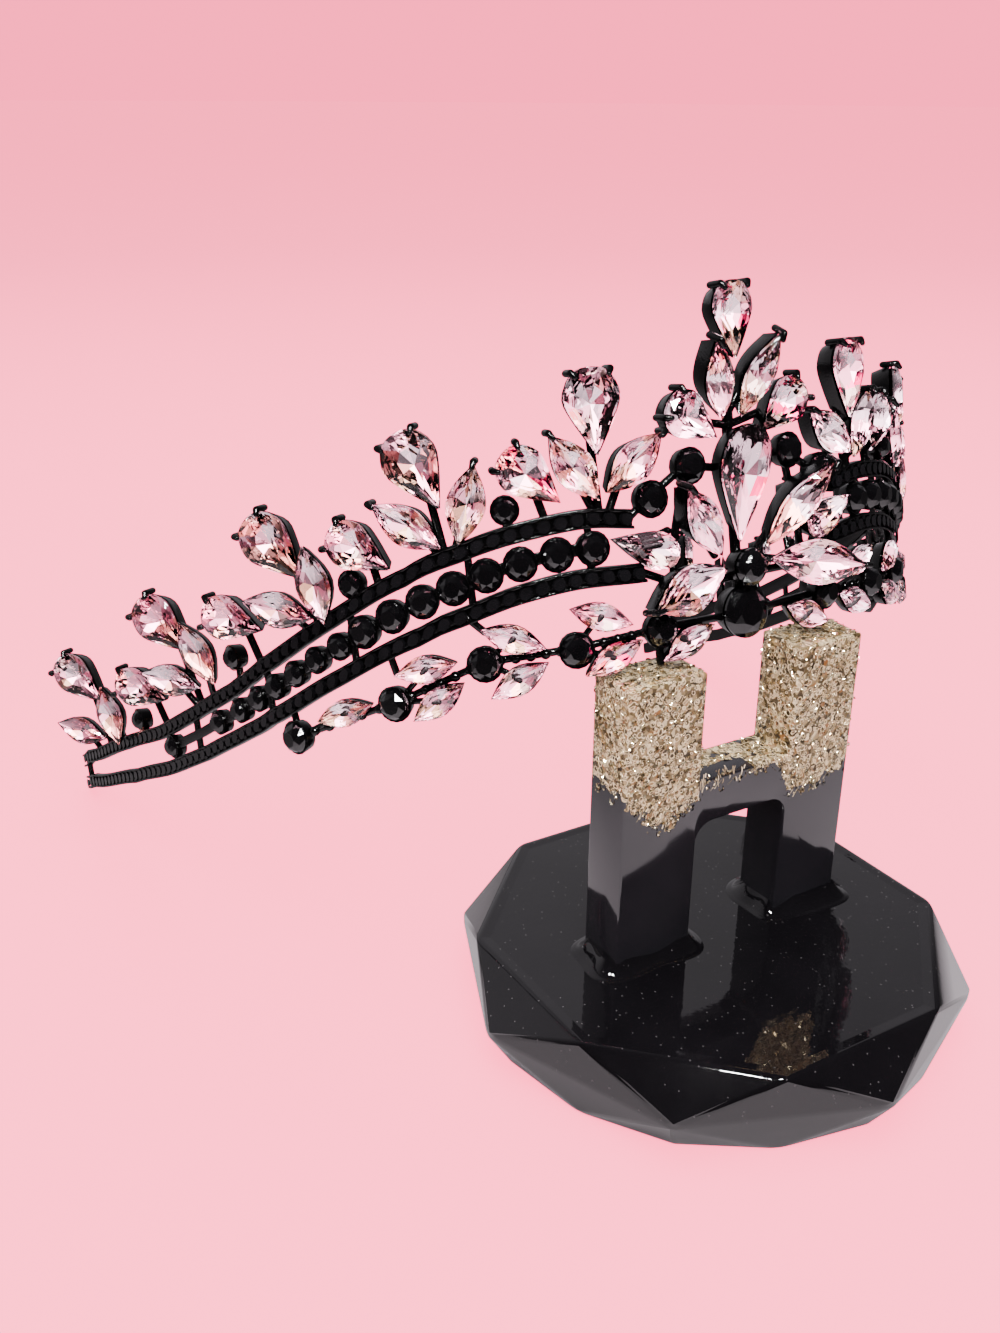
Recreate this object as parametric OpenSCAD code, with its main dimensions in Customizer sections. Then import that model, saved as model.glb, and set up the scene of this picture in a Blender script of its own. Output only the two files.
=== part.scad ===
// Rhinestone diadem leaning on a two-post display stand, in millimetres, +Z up.
// The origin is the middle of the stand's foot, on the floor; the front is toward -Y.

/* [Stand] */
// Height of the faceted base
base_height = 12.5; // [8:0.5:20]
// Width of the base's flat top across its corners
base_top_width = 72.4; // [50:0.2:100]
// Width of the base across its widest corners
base_girdle_width = 79.4; // [54:0.2:110]
// Width of the base's foot across its corners
base_foot_width = 71.2; // [50:0.2:100]
// Height of the widest corners above the floor
base_girdle_height = 6.5; // [3:0.5:10]
// Height of the two posts above the base
post_height = 45; // [30:0.5:60]
// Width of the left post
left_post_width = 13.2; // [8:0.2:20]
// Width of the right post
right_post_width = 12; // [8:0.2:20]
// Open width between the posts
post_spacing = 16.6; // [10:0.2:24]
// Shift of the opening between the posts, across
post_shift = 1; // [-5:0.1:5]
// Gap under the posts
post_joint = 0.1; // [0.05:0.05:0.5]
// Depth of the posts, front to back
post_depth = 8.1; // [5:0.1:14]
// Height of the bar's underside above the base
bar_under = 21; // [12:0.5:30]
// Height of the bar's top above the base
bar_top = 28; // [18:0.5:38]
// Corner radius of the opening below the bar
arch_radius = 3; // [1:0.2:6]

/* [Place of the diadem] */
// Lean of the diadem's wall, back from upright
wall_lean = 12.6; // [0:0.2:25]
// Place of the wall's middle, across
wall_x = 2.6; // [-10:0.1:10]
// Place of the wall's middle, front to back
wall_y = -1.8; // [-10:0.1:10]
// Height of the wall's middle line above the post tops
wall_rise = 0.9; // [0.5:0.1:3]

/* [Wall of the diadem] */
// Length of each wing along the wall, middle to end
wing_length = 164; // [120:1:200]
// Height of the crest over the posts
crest_rise = 50; // [30:0.5:70]
// Wall radius across the middle
middle_radius = 108; // [60:1:200]
// Wall radius at the temples
temple_radius = 51; // [35:1:90]
// Wall radius along the arms
arm_radius = 397; // [150:1:900]
// Height of the beaded bands
band_height = 2.6; // [1.5:0.1:5]
// Thickness of the beaded bands
band_thickness = 1.6; // [1:0.1:3]

/* [Stones] */
// Length of the large drop in the middle
centre_drop_length = 16.6; // [10:0.1:24]
// Width of the large drop in the middle
centre_drop_width = 8.8; // [5:0.1:14]
// Length of the topmost drop
top_drop_length = 10.2; // [6:0.1:16]
// Width of the topmost drop
top_drop_width = 6.6; // [4:0.1:10]
// Length of the two drops beside it
shoulder_drop_length = 9.4; // [6:0.1:14]
// Width of the two drops beside it
shoulder_drop_width = 6.6; // [4:0.1:10]
// Length of the two small drops that point sideways
side_drop_length = 10.2; // [6:0.1:14]
// Width of the two small drops that point sideways
side_drop_width = 5.2; // [3:0.1:9]
// Length of the two top leaves
top_leaf_length = 12; // [8:0.1:18]
// Width of the two top leaves
top_leaf_width = 4.6; // [3:0.1:8]
// Length of the two upper petals
upper_petal_length = 14.6; // [9:0.1:20]
// Width of the two upper petals
upper_petal_width = 5.2; // [3:0.1:9]
// Length of the two side petals
side_petal_length = 15.4; // [9:0.1:22]
// Width of the two side petals
side_petal_width = 6.5; // [3:0.1:10]
// Length of the tall drops on the crest
crest_drop_length = 11.3; // [7:0.1:16]
// Width of the tall drops on the crest
crest_drop_width = 7.8; // [5:0.1:12]
// Length of the low drops on the crest
low_drop_length = 9.9; // [6:0.1:14]
// Width of the low drops on the crest
low_drop_width = 6.8; // [4:0.1:10]
// Length of the leaves on the crest
crest_leaf_length = 10.9; // [7:0.1:16]
// Width of the leaves on the crest
crest_leaf_width = 5.2; // [3:0.1:8]
// Length of the leaves in the hanging garland
hanging_leaf_length = 9.2; // [6:0.1:14]
// Width of the leaves in the hanging garland
hanging_leaf_width = 3.9; // [2:0.1:6]
// Width of the lower black round in the middle
lower_round = 7.6; // [5:0.1:10]
// Width of the upper black round in the middle
upper_round = 5.2; // [3:0.1:8]
// Width of the garland's black rounds
hanging_round = 4.5; // [3:0.1:7]
// Width of the larger black rounds between the bands
band_round = 4.2; // [2:0.1:6]
// Width of the smaller black rounds
small_round = 3.4; // [2:0.1:5]
// Height of a large stone's crown over its edge
crown_height = 1.3; // [0.5:0.1:3]
// Depth of a large stone's point below its edge
stone_depth = 2.2; // [1:0.1:4]
// Thickness of a stone's edge
edge_thickness = 0.4; // [0.2:0.05:1]

/* [Settings] */
// Depth of a large stone's cup
cup_depth = 3.4; // [2:0.1:6]
// Wall thickness of a cup
cup_wall = 0.5; // [0.3:0.05:1]
// Gap between a stone and its metal
stone_gap = 0.16; // [0.05:0.01:0.3]
// Thickness of the stems and wires
wire = 1.2; // [0.6:0.1:2]
// Width of a prong
prong_width = 0.9; // [0.5:0.1:1.5]
// Depth of the metal behind a flat stone
back_depth = 2; // [1:0.1:4]

/* [Hidden] */
// the height that the wall's places are measured from
wall_z = base_height + post_height + wall_rise;
h1 = middle_share_length() / middle_radius * 180 / PI;
h2 = h1 + (temple_end() - middle_share_length()) / temple_radius * 180 / PI;
// the furthest a stone's face turns to the side, in degrees
turn_limit = 50;

// how far along the wall the middle curve and the temple curve end
function middle_share_length() = 0.098 * wing_length;
function temple_end() = 0.463 * wing_length;
// heading of the wall at a place along it, in degrees
function heading(s) = s < middle_share_length() ? s / middle_radius * 180 / PI
    : s < temple_end() ? h1 + (s - middle_share_length()) / temple_radius * 180 / PI
    : h2 + (s - temple_end()) / arm_radius * 180 / PI;
// across and back place of an arc piece from heading a to heading b
function arc_x(r, a, b) = r * (sin(b) - sin(a));
function arc_y(r, a, b) = r * (cos(a) - cos(b));
function plan_x(s) = s < middle_share_length() ? arc_x(middle_radius, 0, heading(s))
    : s < temple_end() ? arc_x(middle_radius, 0, h1) + arc_x(temple_radius, h1, heading(s))
    : arc_x(middle_radius, 0, h1) + arc_x(temple_radius, h1, h2) + arc_x(arm_radius, h2, heading(s));
function plan_y(s) = s < middle_share_length() ? arc_y(middle_radius, 0, heading(s))
    : s < temple_end() ? arc_y(middle_radius, 0, h1) + arc_y(temple_radius, h1, heading(s))
    : arc_y(middle_radius, 0, h1) + arc_y(temple_radius, h1, h2) + arc_y(arm_radius, h2, heading(s));
function turn(s) = min(heading(s), turn_limit);
// a point on the right wing: s along, w up, out toward the viewer
function spot(s, w, out) = [plan_x(s) + out * sin(turn(s)), plan_y(s) - out * cos(turn(s)), w];
function wall_spot(s, w, out) = [plan_x(s) + out * sin(heading(s)), plan_y(s) - out * cos(heading(s)), w];

// the bands' middle lines: along as a share of wing_length, up as a share of crest_rise
UPPER_BAND = [
    [0.10, 0.41], [0.15, 0.43], [0.21, 0.412], [0.25, 0.38], [0.30, 0.325], [0.39, 0.192], [0.475, 0.06],
    [0.53, -0.03], [0.61, -0.135], [0.70, -0.245], [0.81, -0.345], [0.96, -0.485], [1.0, -0.53]];
LOWER_BAND = [
    [0.10, 0.265], [0.16, 0.272], [0.21, 0.25], [0.25, 0.212], [0.29, 0.165], [0.375, 0.05], [0.47, -0.09],
    [0.53, -0.175], [0.60, -0.265], [0.69, -0.365], [0.79, -0.455], [0.96, -0.585], [1.0, -0.615]];
// smooth curve through a table's rows
function mix4(a, b, c, d, t) =
    0.5 * (2 * b + (c - a) * t + (2 * a - 5 * b + 4 * c - d) * t * t + (3 * b - a - 3 * c + d) * t * t * t);
function row_of(T, x, i = 0) = i >= len(T) - 2 || x < T[i + 1][0] ? i : row_of(T, x, i + 1);
function smooth(T, x) = let (i = row_of(T, x), n = len(T) - 1, t = (x - T[i][0]) / (T[i + 1][0] - T[i][0]))
    mix4(T[max(i - 1, 0)][1], T[i][1], T[i + 1][1], T[min(i + 2, n)][1], t);
function upper_w(s) = crest_rise * smooth(UPPER_BAND, s / wing_length);
function lower_w(s) = crest_rise * smooth(LOWER_BAND, s / wing_length);

// outlines as shares of a stone's width and length
DROP = [
    [0, -0.5], [0.33, -0.12], [0.49, 0.17], [0.32, 0.43],
    [0, 0.5], [-0.32, 0.43], [-0.49, 0.17], [-0.33, -0.12]];
LEAF = [
    [0, -0.5], [0.36, -0.24], [0.5, 0], [0.36, 0.24],
    [0, 0.5], [-0.36, 0.24], [-0.5, 0], [-0.36, -0.24]];
ROUND = [for (k = [0 : 7]) [0.5 * sin(22.5 + 45 * k), -0.5 * cos(22.5 + 45 * k)]];

// kinds of stone: [outline, length, width, table share, middle of the table as a share of length]
CENTRE_DROP = [DROP, centre_drop_length, centre_drop_width, 0.52, 0.08];
TOP_DROP = [DROP, top_drop_length, top_drop_width, 0.52, 0.08];
SHOULDER_DROP = [DROP, shoulder_drop_length, shoulder_drop_width, 0.52, 0.08];
SIDE_DROP = [DROP, side_drop_length, side_drop_width, 0.52, 0.08];
TOP_LEAF = [LEAF, top_leaf_length, top_leaf_width, 0.5, 0];
UPPER_PETAL = [LEAF, upper_petal_length, upper_petal_width, 0.5, 0];
SIDE_PETAL = [LEAF, side_petal_length, side_petal_width, 0.5, 0];
CREST_DROP = [DROP, crest_drop_length, crest_drop_width, 0.52, 0.08];
LOW_DROP = [DROP, low_drop_length, low_drop_width, 0.52, 0.08];
CREST_LEAF = [LEAF, crest_leaf_length, crest_leaf_width, 0.5, 0];
HANGING_LEAF = [LEAF, hanging_leaf_length, hanging_leaf_width, 0.5, 0];
LOWER_ROUND = [ROUND, lower_round, lower_round, 0.55, 0];
UPPER_ROUND = [ROUND, upper_round, upper_round, 0.55, 0];

// stones on the middle line: [name, kind, up as a share of crest_rise, tilt, out in wires]
MIDDLE = [
    ["top_drop", TOP_DROP, 0.898, 0, 0],
    ["centre_drop", CENTRE_DROP, 0.458, 13, 0.2],
    ["centre_round_upper", UPPER_ROUND, 0.23, 0, 0.5],
    ["centre_round_lower", LOWER_ROUND, 0.1, 0, -1]];
// stones in pairs: [name, kind, along, up, lean outward, tilt forward, out in wires, foot along, foot up]
PAIRS = [
    ["top_leaf", TOP_LEAF, 0.021, 0.742, 19, 24, 0.6, 0, 0.65],
    ["shoulder_drop", SHOULDER_DROP, 0.048, 0.65, 53, 4, 0.2, 0.002, 0.62],
    ["upper_petal", UPPER_PETAL, 0.05, 0.378, 38, 23, 1.7, 0.024, 0.27],
    ["side_petal", SIDE_PETAL, 0.068, 0.207, 102, 18, 1.9, 0.03, 0.235],
    ["side_drop", SIDE_DROP, 0.1, 0.333, -111, 0, 0.2, 0.07, 0.36],
    ["crest_drop_1", CREST_DROP, 0.136, 0.704, 1, 0, 0.4, 0.136, 0],
    ["crest_drop_2", CREST_DROP, 0.279, 0.6, 26, 0, 0.4, 0.265, 0],
    ["crest_drop_3", CREST_DROP, 0.416, 0.422, 41, 0, 2.2, 0.39, 0],
    ["crest_drop_4", CREST_DROP, 0.625, 0.158, 44, 0, 2.2, 0.595, 0],
    ["crest_drop_5", CREST_DROP, 0.893, -0.13, 46, 0, 2.2, 0.86, 0],
    ["low_drop_1", LOW_DROP, 0.19, 0.552, 45, 0, 0.4, 0.18, 0],
    ["low_drop_2", LOW_DROP, 0.337, 0.404, 56, 0, 0.4, 0.325, 0],
    ["low_drop_3", LOW_DROP, 0.492, 0.208, 70, 0, 2.2, 0.475, 0],
    ["low_drop_4", LOW_DROP, 0.7, -0.08, 68, 0, 2.2, 0.68, 0],
    ["crest_leaf_1", CREST_LEAF, 0.155, 0.566, 33, 0, 0.4, 0.138, 0],
    ["crest_leaf_2", CREST_LEAF, 0.105, 0.56, -51, 0, 0.4, 0.13, 0],
    ["crest_leaf_3", CREST_LEAF, 0.243, 0.502, -17, 0, 0.4, 0.258, 0],
    ["crest_leaf_4", CREST_LEAF, 0.293, 0.46, 54, 0, 0.4, 0.268, 0]];
// the leaves toward the ends, in the same columns after the name
BACK_LEAVES = [
    [0.378, 0.322, 9, 0.385], [0.423, 0.252, 74, 0.4], [0.564, 0.09, 25, 0.57], [0.627, -0.018, 76, 0.6],
    [0.803, -0.218, 10, 0.81], [0.92, -0.34, 72, 0.9]];
// garland leaves: [along share, up share, lean outward, number of the round they spring from]
HANGING_LEAVES = [
    [0.066, 0.054, -66, 0], [0.143, 0.166, 69, 1], [0.135, 0.05, -66, 1], [0.217, 0.136, 68, 2],
    [0.215, 0.022, -63, 2], [0.292, 0.072, 99, 3], [0.284, -0.02, -57, 3], [0.373, -0.05, -75, 4]];
// garland rounds: [along share, up share]
HANGING_ROUNDS = [[0.091, 0.103], [0.166, 0.086], [0.242, 0.076], [0.323, -0.022], [0.435, -0.136]];
// rounds beside the crest: [along share, up share, width]
CREST_ROUNDS = [
    [0.053, 0.53, hanging_round], [0.091, 0.458, hanging_round], [0.213, 0.478, small_round],
    [0.35, 0.313, small_round], [0.518, 0.078, small_round], [0.745, -0.22, small_round]];
// rounds between the bands: [along share, width]
BAND_ROUNDS = [
    [0.145, band_round], [0.175, band_round], [0.205, band_round], [0.233, band_round],
    [0.261, band_round], [0.288, band_round], [0.316, band_round], [0.344, band_round],
    [0.37, small_round], [0.397, small_round], [0.425, small_round], [0.455, small_round],
    [0.486, small_round], [0.52, small_round], [0.562, small_round], [0.67, small_round]];

// places of the posts between the bands, along share
CHAIN_POSTS = [0.147, 0.247, 0.357, 0.47, 0.615];
// ties of the garland to the lower band: [along share, up share, along share on the band]
GARLAND_TIES = [[0.24, 0.16, 0.255], [0.32, 0.06, 0.325], [0.435, -0.13, 0.44]];

// closed solid through rings of points, top ring first, with a point below if one is given
module loft(rings, tip = undef) {
    n = len(rings[0]);
    m = len(rings);
    points = concat([for (r = rings) each r], is_undef(tip) ? [] : [tip]);
    sides = [for (i = [0 : m - 2], j = [0 : n - 1]) each [
        [i * n + j, i * n + (j + 1) % n, (i + 1) * n + (j + 1) % n],
        [i * n + j, (i + 1) * n + (j + 1) % n, (i + 1) * n + j]]];
    cap = [[for (j = [n - 1 : -1 : 0]) j]];
    bottom = is_undef(tip) ? [[for (j = [0 : n - 1]) (m - 1) * n + j]]
        : [for (j = [0 : n - 1]) [(m - 1) * n + j, (m - 1) * n + (j + 1) % n, m * n]];
    polyhedron(points, concat(cap, sides, bottom));
}
// a kind's outline at a height, grown outward by g, scaled by k about its table's middle
function ring(kind, z, g = 0, k = 1) = [for (p = kind[0]) [
    k * p[0] * (kind[2] + 2 * g), kind[4] * kind[1] * (1 - k) + k * p[1] * (kind[1] + 2.4 * g), z]];

// a cut stone with a table, a crown and a pointed back
module cut_stone(kind) {
    half = edge_thickness / 2;
    loft([ring(kind, crown_height, 0, kind[3]), ring(kind, half), ring(kind, -half)],
        [0, kind[4] * kind[1], -stone_depth]);
}
// a flat-backed round stone
module flat_stone(d) {
    loft([ring([ROUND, d, d, 0.55, 0], 0.3 * d, 0, 0.55), ring([ROUND, d, d, 0.55, 0], 0)]);
}
// the room a stone takes in the metal
module stone_room(kind) {
    low = -edge_thickness / 2 - stone_gap;
    loft([ring(kind, 1.6 * crown_height, stone_gap), ring(kind, low, stone_gap)],
        [0, kind[4] * kind[1], -stone_depth - 1.4 * stone_gap]);
}
// the cup behind a stone
module cup(kind, depth = cup_depth) {
    loft([ring(kind, -edge_thickness / 20, stone_gap + cup_wall), ring(kind, -depth, 0, 0.78)]);
}
// a prong at an outline point, pointing inward along a direction
module prong(kind, i, away) {
    p = kind[0][i];
    reach = stone_gap + cup_wall;
    translate([p[0] * kind[2], p[1] * kind[1], 0]) rotate([0, 0, away]) rotate([90, 0, 0])
        translate([0, 0, -prong_width / 2]) linear_extrude(prong_width)
            polygon(prong_width * [[0.11, -0.44], [0, -0.44], [0, 1], [-0.72, 1.44], [0, 0.42]]
                + [[stone_gap, 0], [reach - 0.11 * prong_width, 0], [reach, 0], [0, 0], [stone_gap, 0]]);
}
// two prongs at the shoulders of a tall drop
module prongs(kind) {
    if (kind == CREST_DROP || kind == TOP_DROP) {
        prong(kind, 3, 55);
        prong(kind, 5, 125);
    }
}

// everything of the diadem is placed in the leaning wall's own frame
module on_wall() {
    translate([wall_x, wall_y, wall_z]) rotate([-wall_lean, 0, 0]) children();
}
// a stone's own frame: its table toward the viewer, its bulb or upper end up
module seat(along, up, lean, tilt, out) {
    s = along * wing_length;
    translate(spot(s, up * crest_rise, out * wire)) rotate([0, 0, turn(s)]) rotate([90, 0, 0])
        rotate([0, 0, -lean]) rotate([tilt, 0, 0]) children();
}
module round_seat(s, w) {
    translate(wall_spot(s, w, 0)) rotate([0, 0, heading(s)]) rotate([90, 0, 0]) children();
}
function band_round_w(r) = (upper_w(r[0] * wing_length) + lower_w(r[0] * wing_length)) / 2;
module both_sides() {
    for (side = [0, 1]) mirror([side, 0, 0]) children();
}
module one_side(left) {
    mirror([left ? 1 : 0, 0, 0]) children();
}
// a straight square wire between two points
module bar(a, b, t = wire) {
    d = b - a;
    translate(a) rotate([0, acos(d[2] / norm(d)), atan2(d[1], d[0])]) translate([-t / 2, -t / 2, -t / 2])
        cube([t, t, norm(d) + t]);
}
// a wire with blunt ends that lie square to the wall
module tie(a, b, t = wire) {
    hull() {
        translate(a) cube(t, center = true);
        translate(b) cube(t, center = true);
    }
}

// a strip of rectangles along the wall, following the upper band (1), the lower band (0) or between
function strip_w(s, part) = part * upper_w(s) + (1 - part) * lower_w(s);
module strip(part, from, to, height, thickness, back, n) {
    rects = [for (k = [0 : n]) let (s = wing_length * (from + (to - from) * k / n), w = strip_w(s, part)) [
        wall_spot(s, w - height / 2, -back - thickness), wall_spot(s, w - height / 2, -back),
        wall_spot(s, w + height / 2, -back), wall_spot(s, w + height / 2, -back - thickness)]];
    loft(rects);
}

// a corner of the base: its turn, the width across and the height
function corner(turned, width, z) = [sin(turned), -cos(turned), 0] * width / 2 + [0, 0, z];
module stand_base() {
    top = [for (k = [0 : 7]) corner(22.5 + 45 * k, base_top_width, base_height)];
    girdle = [for (k = [0 : 7]) corner(45 * k, base_girdle_width, base_girdle_height)];
    foot = [for (k = [0 : 15]) corner(22.5 * k, base_foot_width, 0)];
    faces = [for (k = [0 : 7]) let (n = (k + 1) % 8, b = (k + 7) % 8) each [
        [b, k, 8 + k], [k, 8 + n, 8 + k], [8 + k, 8 + n, 17 + 2 * k],
        [8 + k, 17 + 2 * k, 16 + 2 * k], [8 + k, 16 + 2 * k, 17 + 2 * b]]];
    caps = [[7, 6, 5, 4, 3, 2, 1, 0], [for (k = [16 : 31]) k]];
    color([0.03, 0.03, 0.035])
        polyhedron(concat(top, girdle, foot), concat([caps[0]], faces, [caps[1]]));
}

module stand_posts() {
    w = post_spacing + left_post_width + right_post_width;
    left_edge = post_shift - post_spacing / 2 - left_post_width;
    color([0.25, 0.22, 0.18])
        translate([left_edge, post_depth / 2, base_height + post_joint])
            rotate([90, 0, 0]) linear_extrude(post_depth) difference() {
                square([w, post_height - post_joint]);
                translate([left_post_width, bar_top]) square([post_spacing, post_height]);
                translate([left_post_width, -1]) square([post_spacing, bar_under + 1 - arch_radius]);
                for (x = [arch_radius, post_spacing - arch_radius])
                    translate([left_post_width + x, bar_under - arch_radius]) circle(arch_radius, $fn = 32);
                translate([left_post_width + arch_radius, bar_under - arch_radius - 1])
                    square([post_spacing - 2 * arch_radius, arch_radius + 1]);
            }
}

// the soldered metal of one wing, before the stones' room is taken out
module wing_metal() {
    strip(1, 0.108, 0.985, band_height, band_thickness, 0, 27);
    strip(0, 0.1, 0.985, band_height, band_thickness, 0, 27);
    // the strip that carries the rounds between the bands, and the posts that hold it
    strip(0.5, 0.138, 0.68, 0.4 * band_round, 0.83 * wire, stone_gap, 16);
    for (share = CHAIN_POSTS)
        let (s = share * wing_length)
            bar(wall_spot(s, upper_w(s), -0.83 * wire),
                wall_spot(s, lower_w(s), -0.83 * wire), 0.83 * wire);
    end = 0.975 * wing_length;
    bar(wall_spot(end, upper_w(end), -0.67 * wire),
        wall_spot(end, lower_w(end), -0.67 * wire), 1.33 * wire);
    // stems of the paired cups, each from the cup's back to its foot
    for (r = PAIRS) {
        s = r[2] * wing_length;
        foot = r[7] * wing_length;
        foot_w = r[8] == 0 ? upper_w(foot) + 0.33 * wire : r[8] * crest_rise;
        seat(r[2], r[3], r[4], r[5], r[6]) cup(r[1]);
        bar(spot(s, r[3] * crest_rise, (r[6] - 2.42) * wire),
            wall_spot(foot, foot_w, (r[8] == 0 ? -0.75 : -2.17) * wire));
    }
    for (r = BACK_LEAVES) {
        foot = r[3] * wing_length;
        seat(r[0], r[1], r[2], 0, 2.2) leaf_back(CREST_LEAF);
        bar(spot(r[0] * wing_length, r[1] * crest_rise, 0.83 * wire),
            wall_spot(foot, upper_w(foot) + 0.33 * wire, -0.75 * wire));
    }
    for (r = CREST_ROUNDS) round_seat(r[0] * wing_length, r[1] * crest_rise) round_back(r[2]);
    for (r = CREST_ROUNDS) if (r[0] > 0.2)
        let (s = r[0] * wing_length, foot = s - 0.83 * wire)
            bar(wall_spot(s, r[1] * crest_rise, -wire), wall_spot(foot, upper_w(foot), -0.83 * wire));
    // the garland under the lower band
    for (r = HANGING_ROUNDS) round_seat(r[0] * wing_length, r[1] * crest_rise) round_back(hanging_round);
    for (r = HANGING_LEAVES) seat(r[0], r[1], r[2], 0, 0) leaf_back(HANGING_LEAF);
    for (r = HANGING_LEAVES)
        let (a = HANGING_ROUNDS[r[3]])
            bar(wall_spot(r[0] * wing_length, r[1] * crest_rise, -wire),
                wall_spot(a[0] * wing_length, a[1] * crest_rise, -1.1 * wire), 0.83 * wire);
    for (i = [0 : len(HANGING_ROUNDS) - 2])
        let (a = HANGING_ROUNDS[i], b = HANGING_ROUNDS[i + 1])
            bar(wall_spot(a[0] * wing_length, a[1] * crest_rise, -1.1 * wire),
                wall_spot(b[0] * wing_length, b[1] * crest_rise, -1.1 * wire));
    for (r = GARLAND_TIES)
        bar(wall_spot(r[0] * wing_length, r[1] * crest_rise, -0.83 * wire),
            wall_spot(r[2] * wing_length, lower_w(r[2] * wing_length), -0.83 * wire));
}
// backs of a flat round and a flat leaf
module round_back(d) {
    translate([0, 0, -back_depth]) cylinder(d = d + 2.5 * stone_gap, h = back_depth - stone_gap, $fn = 6);
}
module leaf_back(kind) {
    loft([ring(kind, -stone_gap, 1.25 * stone_gap), ring(kind, -back_depth, 0, 0.8)]);
}

// the room of the stones of one wing
module wing_rooms() {
    for (r = PAIRS) seat(r[2], r[3], r[4], r[5], r[6]) stone_room(r[1]);
}
// a flat-backed leaf for the ends and the garland
module flat_leaf(kind) {
    loft([ring(kind, 0.9 * crown_height, 0, 0.5), ring(kind, 0)]);
}

module tiara_frame() {
    color([0.02, 0.02, 0.02]) on_wall() {
        difference() {
            union() {
                both_sides() wing_metal();
                for (r = MIDDLE) seat(0, r[2], 0, r[3], r[4]) cup(r[1]);
                // the stem behind the middle, from the topmost cup down to the lower round's cup
                bar([0, 2.17 * wire, 0.86 * crest_rise], [0, 2.17 * wire, 0.62 * crest_rise], 1.33 * wire);
                bar([0, 2.33 * wire, 0.62 * crest_rise], [0, 2.33 * wire, 0.08 * crest_rise], 1.33 * wire);
                both_sides() middle_wires();
            }
            for (r = MIDDLE) seat(0, r[2], 0, r[3], r[4]) stone_room(r[1]);
            both_sides() wing_rooms();
        }
        for (r = MIDDLE) seat(0, r[2], 0, r[3], r[4]) prongs(r[1]);
        both_sides() for (r = PAIRS) seat(r[2], r[3], r[4], r[5], r[6]) prongs(r[1]);
    }
}
// wires that tie the middle to a wing: [along share, up share, out in wires] at both ends
module middle_wires() {
    ties = [
        [0, 0.5, -2.33, 0.053, 0.53, -1.17], [0.053, 0.53, -1.17, 0.066, 0.36, -1.33],
        [0.053, 0.53, -1.17, 0.091, 0.458, -1.17], [0.091, 0.458, -1.17, 0.112, 0.412, -0.83],
        [0.066, 0.36, -1.33, 0.072, 0.22, -1.33], [0.066, 0.34, -1.33, 0.1, 0.333, -1.33],
        [0.072, 0.22, -1.33, 0.102, 0.265, -0.83], [0, 0.2, -2.33, 0.072, 0.2, -1.33],
        [0.072, 0.22, -1.33, 0.091, 0.103, -1.17], [0, 0.09, -2.33, 0.091, 0.103, -1.17],
        [0.091, 0.103, -1.17, 0.091, 0.01, -1]];
    for (r = ties)
        tie(wall_spot(r[0] * wing_length, r[1] * crest_rise, r[2] * wire),
            wall_spot(r[3] * wing_length, r[4] * crest_rise, r[5] * wire));
}

module middle_stone(r) {
    dark = r[1][0] == ROUND;
    color(dark ? [0.03, 0.03, 0.04] : [0.96, 0.74, 0.8]) on_wall()
        seat(0, r[2], 0, r[3], r[4]) cut_stone(r[1]);
}
module pair_stone(r, left) {
    color([0.96, 0.74, 0.8]) on_wall() one_side(left) seat(r[2], r[3], r[4], r[5], r[6]) cut_stone(r[1]);
}
module back_leaves() {
    color([0.96, 0.74, 0.8]) on_wall() both_sides()
        for (r = BACK_LEAVES) seat(r[0], r[1], r[2], 0, 2.2) flat_leaf(CREST_LEAF);
}
module hanging_leaves() {
    color([0.96, 0.74, 0.8]) on_wall() both_sides()
        for (r = HANGING_LEAVES) seat(r[0], r[1], r[2], 0, 0) flat_leaf(HANGING_LEAF);
}
module hanging_rounds() {
    color([0.03, 0.03, 0.04]) on_wall() both_sides()
        for (r = HANGING_ROUNDS)
            round_seat(r[0] * wing_length, r[1] * crest_rise) flat_stone(hanging_round);
}
module crest_rounds() {
    color([0.03, 0.03, 0.04]) on_wall() both_sides()
        for (r = CREST_ROUNDS)
            round_seat(r[0] * wing_length, r[1] * crest_rise) flat_stone(r[2]);
}
module band_rounds() {
    color([0.03, 0.03, 0.04]) on_wall() both_sides()
        for (r = BAND_ROUNDS) round_seat(r[0] * wing_length, band_round_w(r)) flat_stone(r[1]);
}

stand_base();
stand_posts();
tiara_frame();
for (r = MIDDLE) middle_stone(r);
for (r = PAIRS) pair_stone(r, true);
for (r = PAIRS) pair_stone(r, false);
back_leaves();
hanging_leaves();
hanging_rounds();
crest_rounds();
band_rounds();
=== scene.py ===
# %% [markdown]
# A rhinestone diadem rests on a small two-post stand of cast resin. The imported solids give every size
# and place. This lesson loads them, then builds finer stones, settings and resin around them.

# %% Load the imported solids
import math
import random

import bmesh
import bpy
from mathutils import Matrix, Vector


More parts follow.
